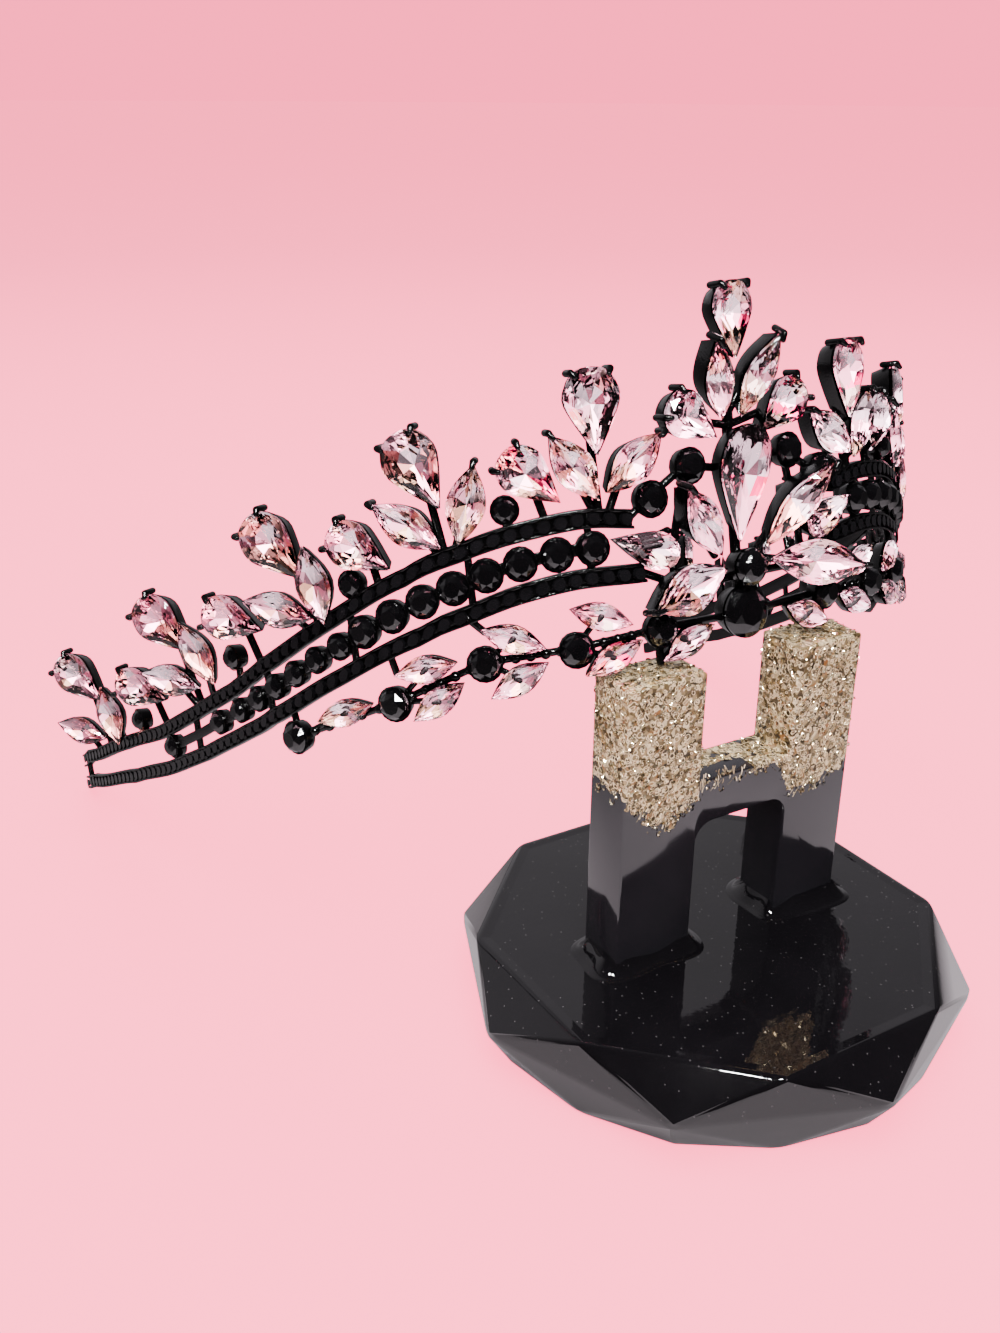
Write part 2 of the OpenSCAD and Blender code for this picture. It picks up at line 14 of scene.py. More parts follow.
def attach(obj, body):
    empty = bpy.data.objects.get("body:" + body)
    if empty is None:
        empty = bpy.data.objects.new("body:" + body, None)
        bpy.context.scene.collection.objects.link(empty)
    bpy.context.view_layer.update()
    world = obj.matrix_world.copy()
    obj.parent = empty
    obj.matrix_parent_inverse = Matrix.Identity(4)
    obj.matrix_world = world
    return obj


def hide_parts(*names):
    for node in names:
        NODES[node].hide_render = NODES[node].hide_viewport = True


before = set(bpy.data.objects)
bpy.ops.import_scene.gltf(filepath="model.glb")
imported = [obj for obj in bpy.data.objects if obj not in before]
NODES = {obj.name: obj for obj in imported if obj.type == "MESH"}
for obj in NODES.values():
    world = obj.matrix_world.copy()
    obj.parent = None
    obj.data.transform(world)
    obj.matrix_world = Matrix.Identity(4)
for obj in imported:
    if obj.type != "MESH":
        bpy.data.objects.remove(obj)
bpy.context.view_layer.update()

# %% [markdown]
# The photograph was taken from the diadem's left, a little above it, with a phone held close. A camera
# can be set by angles, but a turned matrix keeps the slight roll too. Its three columns are the
# directions right, up and back.

# %% Camera at the photograph's angle
AZIMUTH, ELEVATION, ROLL = (math.radians(a) for a in (-30.87, 23.83, 0.41))
AIM = Vector((0, 0, 0.030))
ASIDE, UP, AWAY = -0.03243, 0.02311, 0.1984
SENSOR, LENS, CLIP = 36, 35.87, 0.01


def show(name, data):
    made = bpy.data.objects.new(name, data)
    bpy.context.scene.collection.objects.link(made)
    return made


back = Vector((math.sin(AZIMUTH) * math.cos(ELEVATION), -math.cos(AZIMUTH) * math.cos(ELEVATION),
               math.sin(ELEVATION)))
level = Vector((math.cos(AZIMUTH), math.sin(AZIMUTH), 0))
above = back.cross(level)
right = level * math.cos(ROLL) + above * math.sin(ROLL)
upward = above * math.cos(ROLL) - level * math.sin(ROLL)
camera_data = bpy.data.cameras.new("camera")
camera_data.sensor_width = SENSOR
camera_data.lens = LENS
camera_data.clip_start = CLIP
camera = show("camera", camera_data)
camera.matrix_world = Matrix((right, upward, back)).transposed().to_4x4()
camera.location = AIM + ASIDE * right + UP * upward + AWAY * back
bpy.context.scene.camera = camera
print("camera at", [round(v * 1000, 1) for v in camera.location], "mm")

# %% [markdown]
# Small wear shows on every real surface: a handled film, faint scratches and specks of dust. One node
# group makes them once, from noise on Object coordinates, and each material takes what it needs.

# %% A node group for handling marks and dust


def feed(tree, value, target):
    if isinstance(value, bpy.types.NodeSocket):
        tree.links.new(value, target)
    elif isinstance(target, bpy.types.NodeSocketColor):
        target.default_value = (*value, 1)
    else:
        target.default_value = value


def fill(tree, made, **values):
    for key, value in values.items():
        feed(tree, value, made.inputs[key.replace("_", " ")])
    return made


def node(tree, kind, **values):
    return fill(tree, tree.nodes.new(kind), **values)


def operate(tree, kind, operation, values):
    made = tree.nodes.new(kind)
    made.operation = operation
    for target, value in zip(made.inputs, values):
        feed(tree, value, target)
    return made


def math_node(tree, operation, *values, clamp=False):
    made = operate(tree, "ShaderNodeMath", operation, values)
    made.use_clamp = clamp
    return made.outputs[0]


def object_place(tree):
    return tree.nodes.new("ShaderNodeTexCoord").outputs["Object"]


def make_marks_group():
    group = bpy.data.node_groups.new("handling_marks", "ShaderNodeTree")
    for way, names in (("INPUT", ("Scale", "Roughness", "Spread")),
                       ("OUTPUT", ("Roughness", "Shade", "Height", "Dust"))):
        for name in names:
            group.interface.new_socket(name, in_out=way, socket_type="NodeSocketFloat")
    start = group.nodes.new("NodeGroupInput").outputs
    end = group.nodes.new("NodeGroupOutput")
    place = object_place(group)
    fine, broad, close = (math_node(group, "MULTIPLY", start["Scale"], times) for times in (4.0, 0.25, 3.0))
    film = node(group, "ShaderNodeTexNoise", Vector=place, Scale=broad, Detail=3.0, Roughness=0.6)
    grain = node(group, "ShaderNodeTexNoise", Vector=place, Scale=fine, Detail=2.0)
    specks = node(group, "ShaderNodeTexVoronoi", Vector=place, Scale=close, Randomness=1.0)
    smears = math_node(group, "SUBTRACT", film.outputs[0], 0.4)
    spread = math_node(group, "MULTIPLY", smears, start["Spread"])
    rough = math_node(group, "ADD", start["Roughness"], spread, clamp=True)
    dust = math_node(group, "LESS_THAN", specks.outputs["Distance"], 0.1)
    fill(group, end, Roughness=rough, Shade=film.outputs[0], Height=grain.outputs[0], Dust=dust)
    return group


MARKS = make_marks_group()
print("group", MARKS.name, "sockets", [s.name for s in MARKS.interface.items_tree])

# %% [markdown]
# The stand is cast from black resin, glossy and nearly flawless, with a little dust on it. The metal of
# the diadem is plated black, softer in its shine, and slightly uneven where the solder ran. Each could
# be one flat black, but the eye then sees plastic, so every material starts from the handling marks.

# %% Black resin and black metal


def start_material(name, marks_scale, roughness, spread):
    material = bpy.data.materials.new(name)
    material.use_nodes = True
    tree = material.node_tree
    shader = tree.nodes["Principled BSDF"]
    marks = tree.nodes.new("ShaderNodeGroup")
    marks.node_tree = MARKS
    fill(tree, marks, Scale=marks_scale, Roughness=roughness, Spread=spread)
    fill(tree, shader, Roughness=marks.outputs["Roughness"])
    return material, tree, shader, marks.outputs


def bump(tree, shader, height, strength, distance=0.0002):
    made = node(tree, "ShaderNodeBump", Height=height, Strength=strength, Distance=distance)
    fill(tree, shader, Normal=made.outputs["Normal"])


def mixed(tree, share, first, second):
    made = tree.nodes.new("ShaderNodeMix")
    made.data_type = "RGBA"
    return fill(tree, made, Factor=share, A=first, B=second).outputs["Result"]


def plain_material(name, marks_scale, roughness, spread, dark, light, height, **values):
    material, tree, shader, marks = start_material(name, marks_scale, roughness, spread)
    fill(tree, shader, Base_Color=mixed(tree, marks["Shade"], dark, light), **values)
    bump(tree, shader, marks["Height"], height)
    return material


def make_black_resin():
    material, tree, shader, marks = start_material("black_resin", 260, 0.03, 0.06)
    shade = mixed(tree, marks["Shade"], (0.0008, 0.0007, 0.0009), (0.003, 0.0026, 0.0032))
    fill(tree, shader, Base_Color=mixed(tree, marks["Dust"], shade, (0.025, 0.023, 0.024)))
    bump(tree, shader, marks["Height"], 0.04)
    return material


BLACK_RESIN = make_black_resin()
BLACK_METAL = plain_material("black_metal", 900, 0.12, 0.16, (0.0004, 0.0004, 0.0004),
                             (0.002, 0.0018, 0.002), 0.2, Specular_IOR_Level=0.28)
print("materials of the stand and the frame", [m.name for m in (BLACK_RESIN, BLACK_METAL)])

# %% [markdown]
# A rhinestone is clear glass, cut with facets, with a mirror foil on its back. A flat pink paint would
# miss that, so the front is glass and the back facets are pink metal. The foil's colour changes from
# facet to facet as painted light and shade: its tone follows how each facet faces a set light direction,
# with a little random, and a few get a painted hot-pink flash. Rays go in, bounce off the foil and come
# out as in the real stone.

# %% Pink glass, pink foil and black glass
# Foil colours for the painted light and shade of each facet, from brown through pink and white to the hot
# pink of a painted flash
FOIL_PAINTED_LIGHT_TONES = ((0.0, (0.3, 0.19, 0.12)), (0.1, (0.42, 0.32, 0.28)), (0.2, (0.9, 0.45, 0.36)),
              (0.3, (0.9, 0.5, 0.6)), (0.44, (1.0, 0.5, 0.62)), (0.62, (1.0, 0.9, 0.94)),
              (0.95, (0.98, 0.03, 0.22)))


def ramp(tree, value, stops, way="LINEAR"):
    made = tree.nodes.new("ShaderNodeValToRGB")
    made.color_ramp.interpolation = way
    elements = made.color_ramp.elements
    for place, _ in stops[2:]:
        elements.new(place)
    for element, (place, colour) in zip(elements, stops):
        element.position = place
        element.color = (*colour, 1)
    return fill(tree, made, Fac=value).outputs["Color"]


def facet_number(tree):
    made = tree.nodes.new("ShaderNodeAttribute")
    made.attribute_name = "facet"
    return made.outputs["Fac"]


def make_pink_foil():
    material, tree, shader, _ = start_material("pink_foil", 500, 0.03, 0.05)
    # The foil's colour is the painted light and shade of each facet
    fill(tree, shader, Base_Color=ramp(tree, facet_number(tree), FOIL_PAINTED_LIGHT_TONES, "CONSTANT"), Metallic=1.0)
    return material


PINK_GLASS = plain_material("pink_glass", 500, 0.0, 0.05, (1.0, 0.88, 0.92), (1.0, 0.8, 0.86), 0.02,
                            Transmission_Weight=1.0, IOR=1.56)
PINK_FOIL = make_pink_foil()
BLACK_GLASS = plain_material("black_glass", 700, 0.03, 0.08, (0.0005, 0.0005, 0.0006),
                             (0.002, 0.0018, 0.0022), 0.03, IOR=1.55)
JET_BEADS = plain_material("jet_beads", 900, 0.1, 0.15, (0.001, 0.001, 0.001), (0.006, 0.006, 0.007), 0.1,
                           Specular_IOR_Level=0.3)
print("materials", [m.name for m in bpy.data.materials])

# %% [markdown]
# The diadem was soldered flat and then bent round a head. So each thing is placed by how far along the
# wall it is, how high, and how far out, and two functions bend that layout. The left wing mirrors the
# right one: the place is mirrored, and so is the stone's own frame, which keeps its faces outward.

# %% The bent wall that everything is laid out on
WING, RISE, WIRE = 164.0, 50.0, 1.2
CURVE_ENDS, CURVE_RADII = (0.098 * WING, 0.463 * WING, 1.1 * WING), (108.0, 51.0, 397.0)
MM = Matrix.Scale(0.001, 4)
LEAN = Matrix.Translation((2.6, -1.8, 58.4)) @ Matrix.Rotation(math.radians(-12.6), 4, "X")
MIRROR = Matrix.Diagonal((-1, 1, 1, 1))


def plan(s):
    x = y = turned = start = 0.0
    for end, radius in zip(CURVE_ENDS, CURVE_RADII):
        step = (min(s, end) - start) / radius
        x += radius * (math.sin(turned + step) - math.sin(turned))
        y += radius * (math.cos(turned) - math.cos(turned + step))
        turned += step
        start = end
        if s <= end:
            break
    return x, y, turned


def wall_point(s, w, out, most=math.pi):
    x, y, turned = plan(s)
    turned = min(turned, most)
    return Vector((x + out * math.sin(turned), y - out * math.cos(turned), w))


def on_wall(point, left):
    return LEAN @ (MIRROR @ point if left else point)


# A stone's face turns with the wall, but never by more than this
FACE_MOST = math.radians(50)
UPRIGHT = Matrix.Rotation(math.pi / 2, 4, "X")


def seat(along, up, lean=0.0, tilt=0.0, out=0.0, left=False, follow=False):
    s, most = along * WING, math.pi if follow else FACE_MOST
    turned = min(plan(s)[2], most)
    made = Matrix.Translation(wall_point(s, up * RISE, out * WIRE, most)) @ Matrix.Rotation(turned, 4, "Z")
    made = made @ UPRIGHT @ Matrix.Rotation(math.radians(-lean), 4, "Z")
    made = made @ Matrix.Rotation(math.radians(tilt), 4, "X")
    return LEAN @ (MIRROR @ made @ MIRROR if left else made)


wing_end = wall_point(WING, 0, 0)
print("flat wing", WING, "mm, bent to", round(wing_end.x, 1), "across and", round(wing_end.y, 1), "back")

# %% [markdown]
# The two bands rise to a hump near the middle and then fall away to the ends. A few heights were read
# along each, and a smooth curve runs through them, as a bent strip does.

# %% Heights of the two bands
UPPER_BAND = ((0.10, 0.41), (0.15, 0.43), (0.21, 0.412), (0.25, 0.38), (0.30, 0.325), (0.39, 0.192),
              (0.475, 0.06), (0.53, -0.03), (0.61, -0.135), (0.70, -0.245), (0.81, -0.345), (0.96, -0.485),
              (1.0, -0.53))
LOWER_BAND = ((0.10, 0.265), (0.16, 0.272), (0.21, 0.25), (0.25, 0.212), (0.29, 0.165), (0.375, 0.05),
              (0.47, -0.09), (0.53, -0.175), (0.60, -0.265), (0.69, -0.365), (0.79, -0.455), (0.96, -0.585),
              (1.0, -0.615))


def smooth(a, b, c, d, t):
    return 0.5 * (2 * b + (c - a) * t + (2 * a - 5 * b + 4 * c - d) * t * t
                  + (3 * b - a - 3 * c + d) * t ** 3)


def smooth_row(table, x):
    last = len(table) - 1
    row = max(i for i in range(last) if i == 0 or table[i][0] <= x)
    around = (table[i][1] for i in (max(row - 1, 0), row, row + 1, min(row + 2, last)))
    return smooth(*around, (x - table[row][0]) / (table[row + 1][0] - table[row][0]))


def band_height(part, s):
    return RISE * (part * smooth_row(UPPER_BAND, s / WING) + (1 - part) * smooth_row(LOWER_BAND, s / WING))


print("upper band", round(band_height(1, WING) - band_height(1, 0.15 * WING), 1), "mm from hump to end")

# %% [markdown]
# The stones come in a few kinds, and the tables say where each sits: its place along and up as shares of
# the wing and the crest, its lean outward, its tilt forward, how far out in wires, and where its stem's
# foot is. They are the same numbers as in the solids, so that each finer stone lands on its solid.

# %% Kinds of stone and their places
# Each kind has a shape, a length and a width
KINDS = {
    "centre_drop": ("drop", 16.6, 8.8), "top_drop": ("drop", 10.2, 6.6), "shoulder_drop": ("drop", 9.4, 6.6),
    "side_drop": ("drop", 10.2, 5.2), "crest_drop": ("drop", 11.3, 7.8), "low_drop": ("drop", 9.9, 6.8),
    "top_leaf": ("leaf", 12.0, 4.6), "upper_petal": ("leaf", 14.6, 5.2), "side_petal": ("leaf", 15.4, 6.5),
    "crest_leaf": ("leaf", 10.9, 5.2), "hanging_leaf": ("leaf", 9.2, 3.9),
    "lower_round": ("round", 7.6, 7.6), "upper_round": ("round", 5.2, 5.2),
    "hanging_round": ("round", 4.5, 4.5), "band_round": ("round", 4.2, 4.2),
    "small_round": ("round", 3.4, 3.4)}
# Columns: name, kind, up, tilt, out
MIDDLE = (("top_drop", "top_drop", 0.898, 0, 0), ("centre_drop", "centre_drop", 0.458, 13, 0.2),
          ("centre_round_upper", "upper_round", 0.23, 0, 0.5),
          ("centre_round_lower", "lower_round", 0.1, 0, -1))
# Columns: name, along, up, lean, tilt, out, the foot's place along and up (0 is on the band)
PAIRS = (
    ("top_leaf", 0.021, 0.742, 19, 24, 0.6, 0, 0.65),
    ("shoulder_drop", 0.048, 0.65, 53, 4, 0.2, 0.002, 0.62),
    ("upper_petal", 0.05, 0.378, 38, 23, 1.7, 0.024, 0.27),
    ("side_petal", 0.068, 0.207, 102, 18, 1.9, 0.03, 0.235),
    ("side_drop", 0.1, 0.333, -111, 0, 0.2, 0.07, 0.36),
    ("crest_drop_1", 0.136, 0.704, 1, 0, 0.4, 0.136, 0),
    ("crest_drop_2", 0.279, 0.6, 26, 0, 0.4, 0.265, 0),
    ("crest_drop_3", 0.416, 0.422, 41, 0, 2.2, 0.39, 0),
    ("crest_drop_4", 0.625, 0.158, 44, 0, 2.2, 0.595, 0),
    ("crest_drop_5", 0.893, -0.13, 46, 0, 2.2, 0.86, 0),
    ("low_drop_1", 0.19, 0.552, 45, 0, 0.4, 0.18, 0),
    ("low_drop_2", 0.337, 0.404, 56, 0, 0.4, 0.325, 0),
    ("low_drop_3", 0.492, 0.208, 70, 0, 2.2, 0.475, 0),
    ("low_drop_4", 0.7, -0.08, 68, 0, 2.2, 0.68, 0),
    ("crest_leaf_1", 0.155, 0.566, 33, 0, 0.4, 0.138, 0),
    ("crest_leaf_2", 0.105, 0.56, -51, 0, 0.4, 0.13, 0),
    ("crest_leaf_3", 0.243, 0.502, -17, 0, 0.4, 0.258, 0),
    ("crest_leaf_4", 0.293, 0.46, 54, 0, 0.4, 0.268, 0))
# Columns: along, up, lean, and the foot's place along or the number of the round it hangs from
BACK_LEAVES = ((0.378, 0.322, 9, 0.385), (0.423, 0.252, 74, 0.4), (0.564, 0.09, 25, 0.57),
               (0.627, -0.018, 76, 0.6), (0.803, -0.218, 10, 0.81), (0.92, -0.34, 72, 0.9))
HANGING_LEAVES = ((0.066, 0.054, -66, 0), (0.143, 0.166, 69, 1), (0.135, 0.05, -66, 1),
                  (0.217, 0.136, 68, 2), (0.215, 0.022, -63, 2), (0.292, 0.072, 99, 3),
                  (0.284, -0.02, -57, 3), (0.373, -0.05, -75, 4))
HANGING_ROUNDS = ((0.091, 0.103), (0.166, 0.086), (0.242, 0.076), (0.323, -0.022), (0.435, -0.136))
CREST_ROUNDS = [(a, u, "hanging_round") for a, u in ((0.053, 0.53), (0.091, 0.458))]
CREST_ROUNDS += [(a, u, "small_round") for a, u in ((0.213, 0.478), (0.35, 0.313), (0.518, 0.078),
                                                    (0.745, -0.22))]
BAND_ROUNDS = [(a, "band_round") for a in (0.145, 0.175, 0.205, 0.233, 0.261, 0.288, 0.316, 0.344)]
BAND_ROUNDS += [(a, "small_round") for a in (0.37, 0.397, 0.425, 0.455, 0.486, 0.52, 0.562, 0.67)]
BOTH = (("_left", True), ("_right", False))
print("kinds", len(KINDS), "pairs", len(PAIRS), "rounds between the bands", 2 * len(BAND_ROUNDS))

# %% [markdown]
# A drop is a pear shape with one point, a leaf has two, and a round has none. Eight listed points give
# each outline, and a smooth curve through them fills in the rest, sharp only at the points.

# %% Outlines of the stones
HALVES = {"drop": ((0, -0.5), (0.33, -0.12), (0.49, 0.17), (0.32, 0.43), (0, 0.5)),
          "leaf": ((0, -0.5), (0.36, -0.24), (0.5, 0), (0.36, 0.24), (0, 0.5))}
DROP_MIDDLE = 0.08


def outline(kind, steps):
    shape, length, width = KINDS[kind]
    if shape == "round":
        return [Vector((width / 2 * math.sin(a), -width / 2 * math.cos(a)))
                for a in (math.tau * k / (8 * steps) for k in range(8 * steps))]
    half = [Vector(p) for p in HALVES[shape]]
    before = 2 * half[0] - half[1]
    after = 2 * half[4] - half[3] if shape == "leaf" else Vector((-half[3].x, half[3].y))
    row = [before, *half, after]
    side = []
    for a, b, c, d in zip(row, row[1:], row[2:], row[3:]):
        side += [smooth(a, b, c, d, k / steps) for k in range(steps)]
    side.append(half[4])
    ring = side + [Vector((-p.x, p.y)) for p in side[-2:0:-1]]
    return [Vector((p.x * width, p.y * length)) for p in ring]


def shrunk(points, share, kind, grow=0.0):
    shape, length, width = KINDS[kind]
    middle = Vector((0, DROP_MIDDLE * length if shape == "drop" else 0))
    wide, tall = (width + 2 * grow) / width, (length + 2.4 * grow) / length
    return [middle + share * (Vector((p.x * wide, p.y * tall)) - middle) for p in points]


print("outline of a crest drop has", len(outline("crest_drop", 4)), "points")

# %% [markdown]
# A cut stone is a convex solid, so its facets needn't be drawn one by one: the cutter's key points are
# set, and the convex hull operator stretches the facets between them. The table is flat, eight star
# facets and eight kites surround it, and the back runs to a point. Each part of the back gets its own
# number, which the foil reads for its colour: painted light and shade, set by how the part faces a fixed
# light direction with a little random, and a painted flash where it faces the flash direction.

# %% Cutting a stone
# Directions of the painted light and of the painted flash on the foil
PAINTED_LIGHT_WAY, PAINTED_FLASH_WAY = Vector((0.4, 0, 0.92)), Vector((0.85, 0, -0.5))
TABLE, STAR, SECTORS = 0.52, 0.82, 16
# How much of a facet's tone is painted light, how much is random, and the painted flash's tone
PLAIN_TONE, PAINTED_LIGHT_SHARE, SCATTER, PAINTED_FLASH_TONE = 0.5, 0.3, 0.28, 0.97


def to_data(mesh, name):
    data = bpy.data.meshes.new(name)
    mesh.to_mesh(data)
    mesh.free()
    return data


def finish_piece(mesh, name, materials, place=Matrix(), sharp=None):
    bmesh.ops.transform(mesh, matrix=MM @ place, verts=mesh.verts)
    bmesh.ops.recalc_face_normals(mesh, faces=mesh.faces)
    data = to_data(mesh, name)
    for material in materials:
        data.materials.append(material)
    if sharp is not None:
        data.shade_smooth()
        data.set_sharp_from_angle(angle=math.radians(sharp))
    piece = show(name, data)
    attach(piece, "root")
    return piece


def facet_mesh():
    mesh = bmesh.new()
    return mesh, mesh.faces.layers.float.new("facet")


def verts_in(parts):
    return [v for v in parts if isinstance(v, bmesh.types.BMVert)]


def painted_facet_light(face, turned, dice, sectors, painted_flash):
    middle = face.calc_center_median()
    sector = int(SECTORS * (math.atan2(middle.x, -middle.y) / math.tau + 1)) % SECTORS
    if sector not in sectors:
        angle = (sector + 0.5) * math.tau / SECTORS
        way = turned @ Vector((math.sin(angle), -math.cos(angle), 0))
        # Painted light and shade: the tone follows how the part faces the painted light direction
        painted_brightness = PLAIN_TONE + PAINTED_LIGHT_SHARE * way.dot(PAINTED_LIGHT_WAY) + dice.uniform(-SCATTER, SCATTER)
        # Painted flash: the part that faces the flash direction turns hot pink
        painted_flashing = painted_flash and way.dot(PAINTED_FLASH_WAY) > 0.86
        sectors[sector] = PAINTED_FLASH_TONE if painted_flashing else min(max(painted_brightness, 0.02), 0.93)
    return sectors[sector]


def cut_stone(kind, seed, turned, painted_flash=False, steps=4, back=2.2, crown=1.3, edge=0.2):
    dice = random.Random(seed + 40)
    mesh, shade = facet_mesh()
    girdle = outline(kind, steps)
    keys, mids = girdle[::steps], girdle[steps // 2::steps]
    # Each ring has points, their share of the outline and a height
    rings = [(girdle, 1, edge), (girdle, 1, -edge if back else 0), (mids, STAR, edge + 0.6 * (crown - edge)),
             (keys, TABLE, crown)]
    if back:
        deep = back - edge
        rings += [(keys, 0.93, -edge - 0.12 * deep), (mids, 0.5, -edge - 0.62 * deep), (keys[:1], 0, -back)]
    for points, share, z in rings:
        for p in shrunk(points, share, kind):
            mesh.verts.new((p.x, p.y, z))
    hull = bmesh.ops.convex_hull(mesh, input=mesh.verts)
    loose = verts_in(set(hull["geom_interior"] + hull["geom_unused"]))
    bmesh.ops.delete(mesh, geom=[v for v in loose if v.is_valid and not v.link_faces], context="VERTS")
    bmesh.ops.dissolve_limit(mesh, angle_limit=0.01, verts=mesh.verts, edges=mesh.edges)
    sectors = {}
    for face in mesh.faces:
        face[shade] = painted_facet_light(face, turned, dice, sectors, painted_flash)
        face.material_index = 1 if back and face.calc_center_median().z < -edge - 0.01 else 0
    return mesh


trial = cut_stone("crest_drop", 1, UPRIGHT.to_3x3())
print("a crest drop has", len(trial.faces), "facets")
trial.free()

# %% [markdown]
# Each main stone is a piece of its own, as a jeweller can lift it out. Copies of one stone would be
# quicker, but all would shine alike, so each is cut with its own seed. It stands in for a solid of the
# same outline. A few were caught as they threw a strong pink flash, and those are named in a list, so
# that a hot-pink flash is painted onto their foil.

# %% Main stones in their places
# Stones whose foil gets a painted hot-pink flash
PAINTED_FLASHES = ("top_drop", "centre_drop", "shoulder_drop_right", "low_drop_1_left", "crest_drop_1_right",
           "low_drop_3_left")
MAIN_SEATS = [(name, kind, seat(0, up, 0, tilt, out), number)
              for number, (name, kind, up, tilt, out) in enumerate(MIDDLE)]
MAIN_SEATS += [(name + ending, name.rstrip("_12345"), seat(*row[:5], left), 10 + 2 * number + left)
               for number, (name, *row) in enumerate(PAIRS) for ending, left in BOTH]


def stone_piece(mesh, name, ending, dark, place=Matrix()):
    piece = finish_piece(mesh, name + ending, [BLACK_GLASS] * 2 if dark else [PINK_GLASS, PINK_FOIL], place)
    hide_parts(name)
    return piece


def place_stone(name, kind, place, seed):
    back = 1.5 if kind == "centre_drop" else 2.2
    mesh = cut_stone(kind, seed, place.to_3x3(), name in PAINTED_FLASHES, back=back)
    return stone_piece(mesh, name, "_stone", KINDS[kind][0] == "round", place)


main_stones = [place_stone(*row) for row in MAIN_SEATS]
print("main stones", len(main_stones), "triangles", sum(len(p.data.loop_triangles) for p in main_stones))

# %% [markdown]
# The smaller stones come in fields, and each field is one piece. The leaves are shallow, and the black
# rounds are flat behind, as they have no foil to catch the light. Their seats are kept in a table,
# because the cups need the same places later.

# %% Fields of smaller stones


def join_into(whole, part, place=Matrix()):
    bmesh.ops.transform(part, matrix=place, verts=part.verts)
    data = to_data(part, "part")
    whole.from_mesh(data)
    bpy.data.meshes.remove(data)


def leaf_seats(kind, rows, out):
    return [(kind, seat(along, up, lean, 0, out, left)) for along, up, lean, _ in rows for _, left in BOTH]


def round_seats(rows):
    return [(kind, seat(along, up, left=left, follow=True)) for along, up, kind in rows for _, left in BOTH]


LEAF_BACK, LEAF_CROWN, ROUND_CROWN = 1.2, 1.17, 0.3
FIELD_SEATS = {
    "back_leaves": leaf_seats("crest_leaf", BACK_LEAVES, 2.2),
    "hanging_leaves": leaf_seats("hanging_leaf", HANGING_LEAVES, 0),
    "hanging_rounds": round_seats([(*place, "hanging_round") for place in HANGING_ROUNDS]),
    "crest_rounds": round_seats(CREST_ROUNDS),
    "band_rounds": round_seats([(a, band_height(0.5, a * WING) / RISE, kind) for a, kind in BAND_ROUNDS])}


def field(name, rows):
    dark = name.endswith("rounds")
    whole, _ = facet_mesh()
    for number, (kind, place) in enumerate(rows):
        back, crown = (0, ROUND_CROWN * KINDS[kind][1]) if dark else (LEAF_BACK, LEAF_CROWN)
        # Every ninth stone of a field gets a painted flash on its foil
        stone = cut_stone(kind, 100 + number, place.to_3x3(), number % 9 == 4, 2, back, crown, 0.1)
        join_into(whole, stone, place)
    return stone_piece(whole, name, "_stones", dark)


fields = [field(name, rows) for name, rows in FIELD_SEATS.items()]
print("fields", [(f.name, len(f.data.polygons)) for f in fields])

# %% [markdown]
# Each stone lies in a cup soldered to the frame: an open box of sheet metal that follows the outline.
# The outline is laid as a face, the pocket is inset and pushed down, the wall is drawn down and in, and
# the rim is rounded.

# %% A cup of sheet metal
# Each row has steps, depth, pocket, growth, wall, rim and taper
CUPS = {"deep": (3, 3.4, 2.5, 0.03, 0.34, -0.55, 0.8), "leaf": (2, 2.0, 1.5, 0.03, 0.34, -0.48, 0.85),
        "round": (2, 2.0, 0.3, 0.3, 0.26, 0.05, 0.85)}


def round_edges(mesh, edges, offset, segments, clamp=False):
    return bmesh.ops.bevel(mesh, geom=edges, offset=offset, offset_type="OFFSET", segments=segments,
                           profile=0.5, affect="EDGES", material=-1, clamp_overlap=clamp)


def turn(point):
    place = point.co if isinstance(point, bmesh.types.BMVert) else point
    return math.atan2(place.x, -place.y) % math.tau


def lay(verts, points, z):
    for v, p in zip(sorted(verts, key=turn), points):
        v.co = (p.x, p.y, z)


def cup_shape(kind, steps, depth, pocket, grow, wall, rim, taper):
    mesh = bmesh.new()
    ring = sorted(shrunk(outline(kind, steps), 1, kind, grow), key=turn)
    bmesh.ops.create_circle(mesh, cap_ends=True, segments=len(ring), radius=1)
    lay(mesh.verts, ring, rim)
    top = list(mesh.faces)[0]
    outer = list(top.edges)
    bmesh.ops.inset_region(mesh, faces=[top], thickness=wall)
    floor_face = bmesh.ops.extrude_discrete_faces(mesh, faces=[top])["faces"][0]
    lay(floor_face.verts, shrunk(ring, taper - 0.16, kind), -pocket)
    low = verts_in(bmesh.ops.extrude_edge_only(mesh, edges=outer)["geom"])
    lay(low, shrunk(ring, taper, kind), -depth)
    bmesh.ops.holes_fill(mesh, edges=[e for e in mesh.edges if e.is_boundary], sides=0)
    bmesh.ops.recalc_face_normals(mesh, faces=mesh.faces)
    edges = [e for e in outer if e.is_valid]
    edges += [e for e in mesh.edges if all(abs(v.co.z + depth) < 1e-4 for v in e.verts)]
    round_edges(mesh, edges, 0.12, 2)
    return mesh


trial = cup_shape("crest_drop", *CUPS["deep"])
print("a crest drop's cup has", len(trial.faces), "faces")
trial.free()

# %% [markdown]
# Claws hold a stone down at its shoulders. Each is two short rods with round ends, one up the cup's wall
# and one bent over the edge. A rod is the convex hull of two small balls, so its ends are round, as
# solder leaves them.

# %% Rods, claws and deep cups
CLAW_BACK, CLAW_FOOT, CLAW_KNEE, CLAW_TIP = 0.3, -1.6, 0.6, 1.05
CLAW_RADIUS, CLAW_END = 0.5, 0.38


def ball(mesh, point, radius):
    bmesh.ops.create_icosphere(mesh, subdivisions=2, radius=radius, matrix=Matrix.Translation(point))


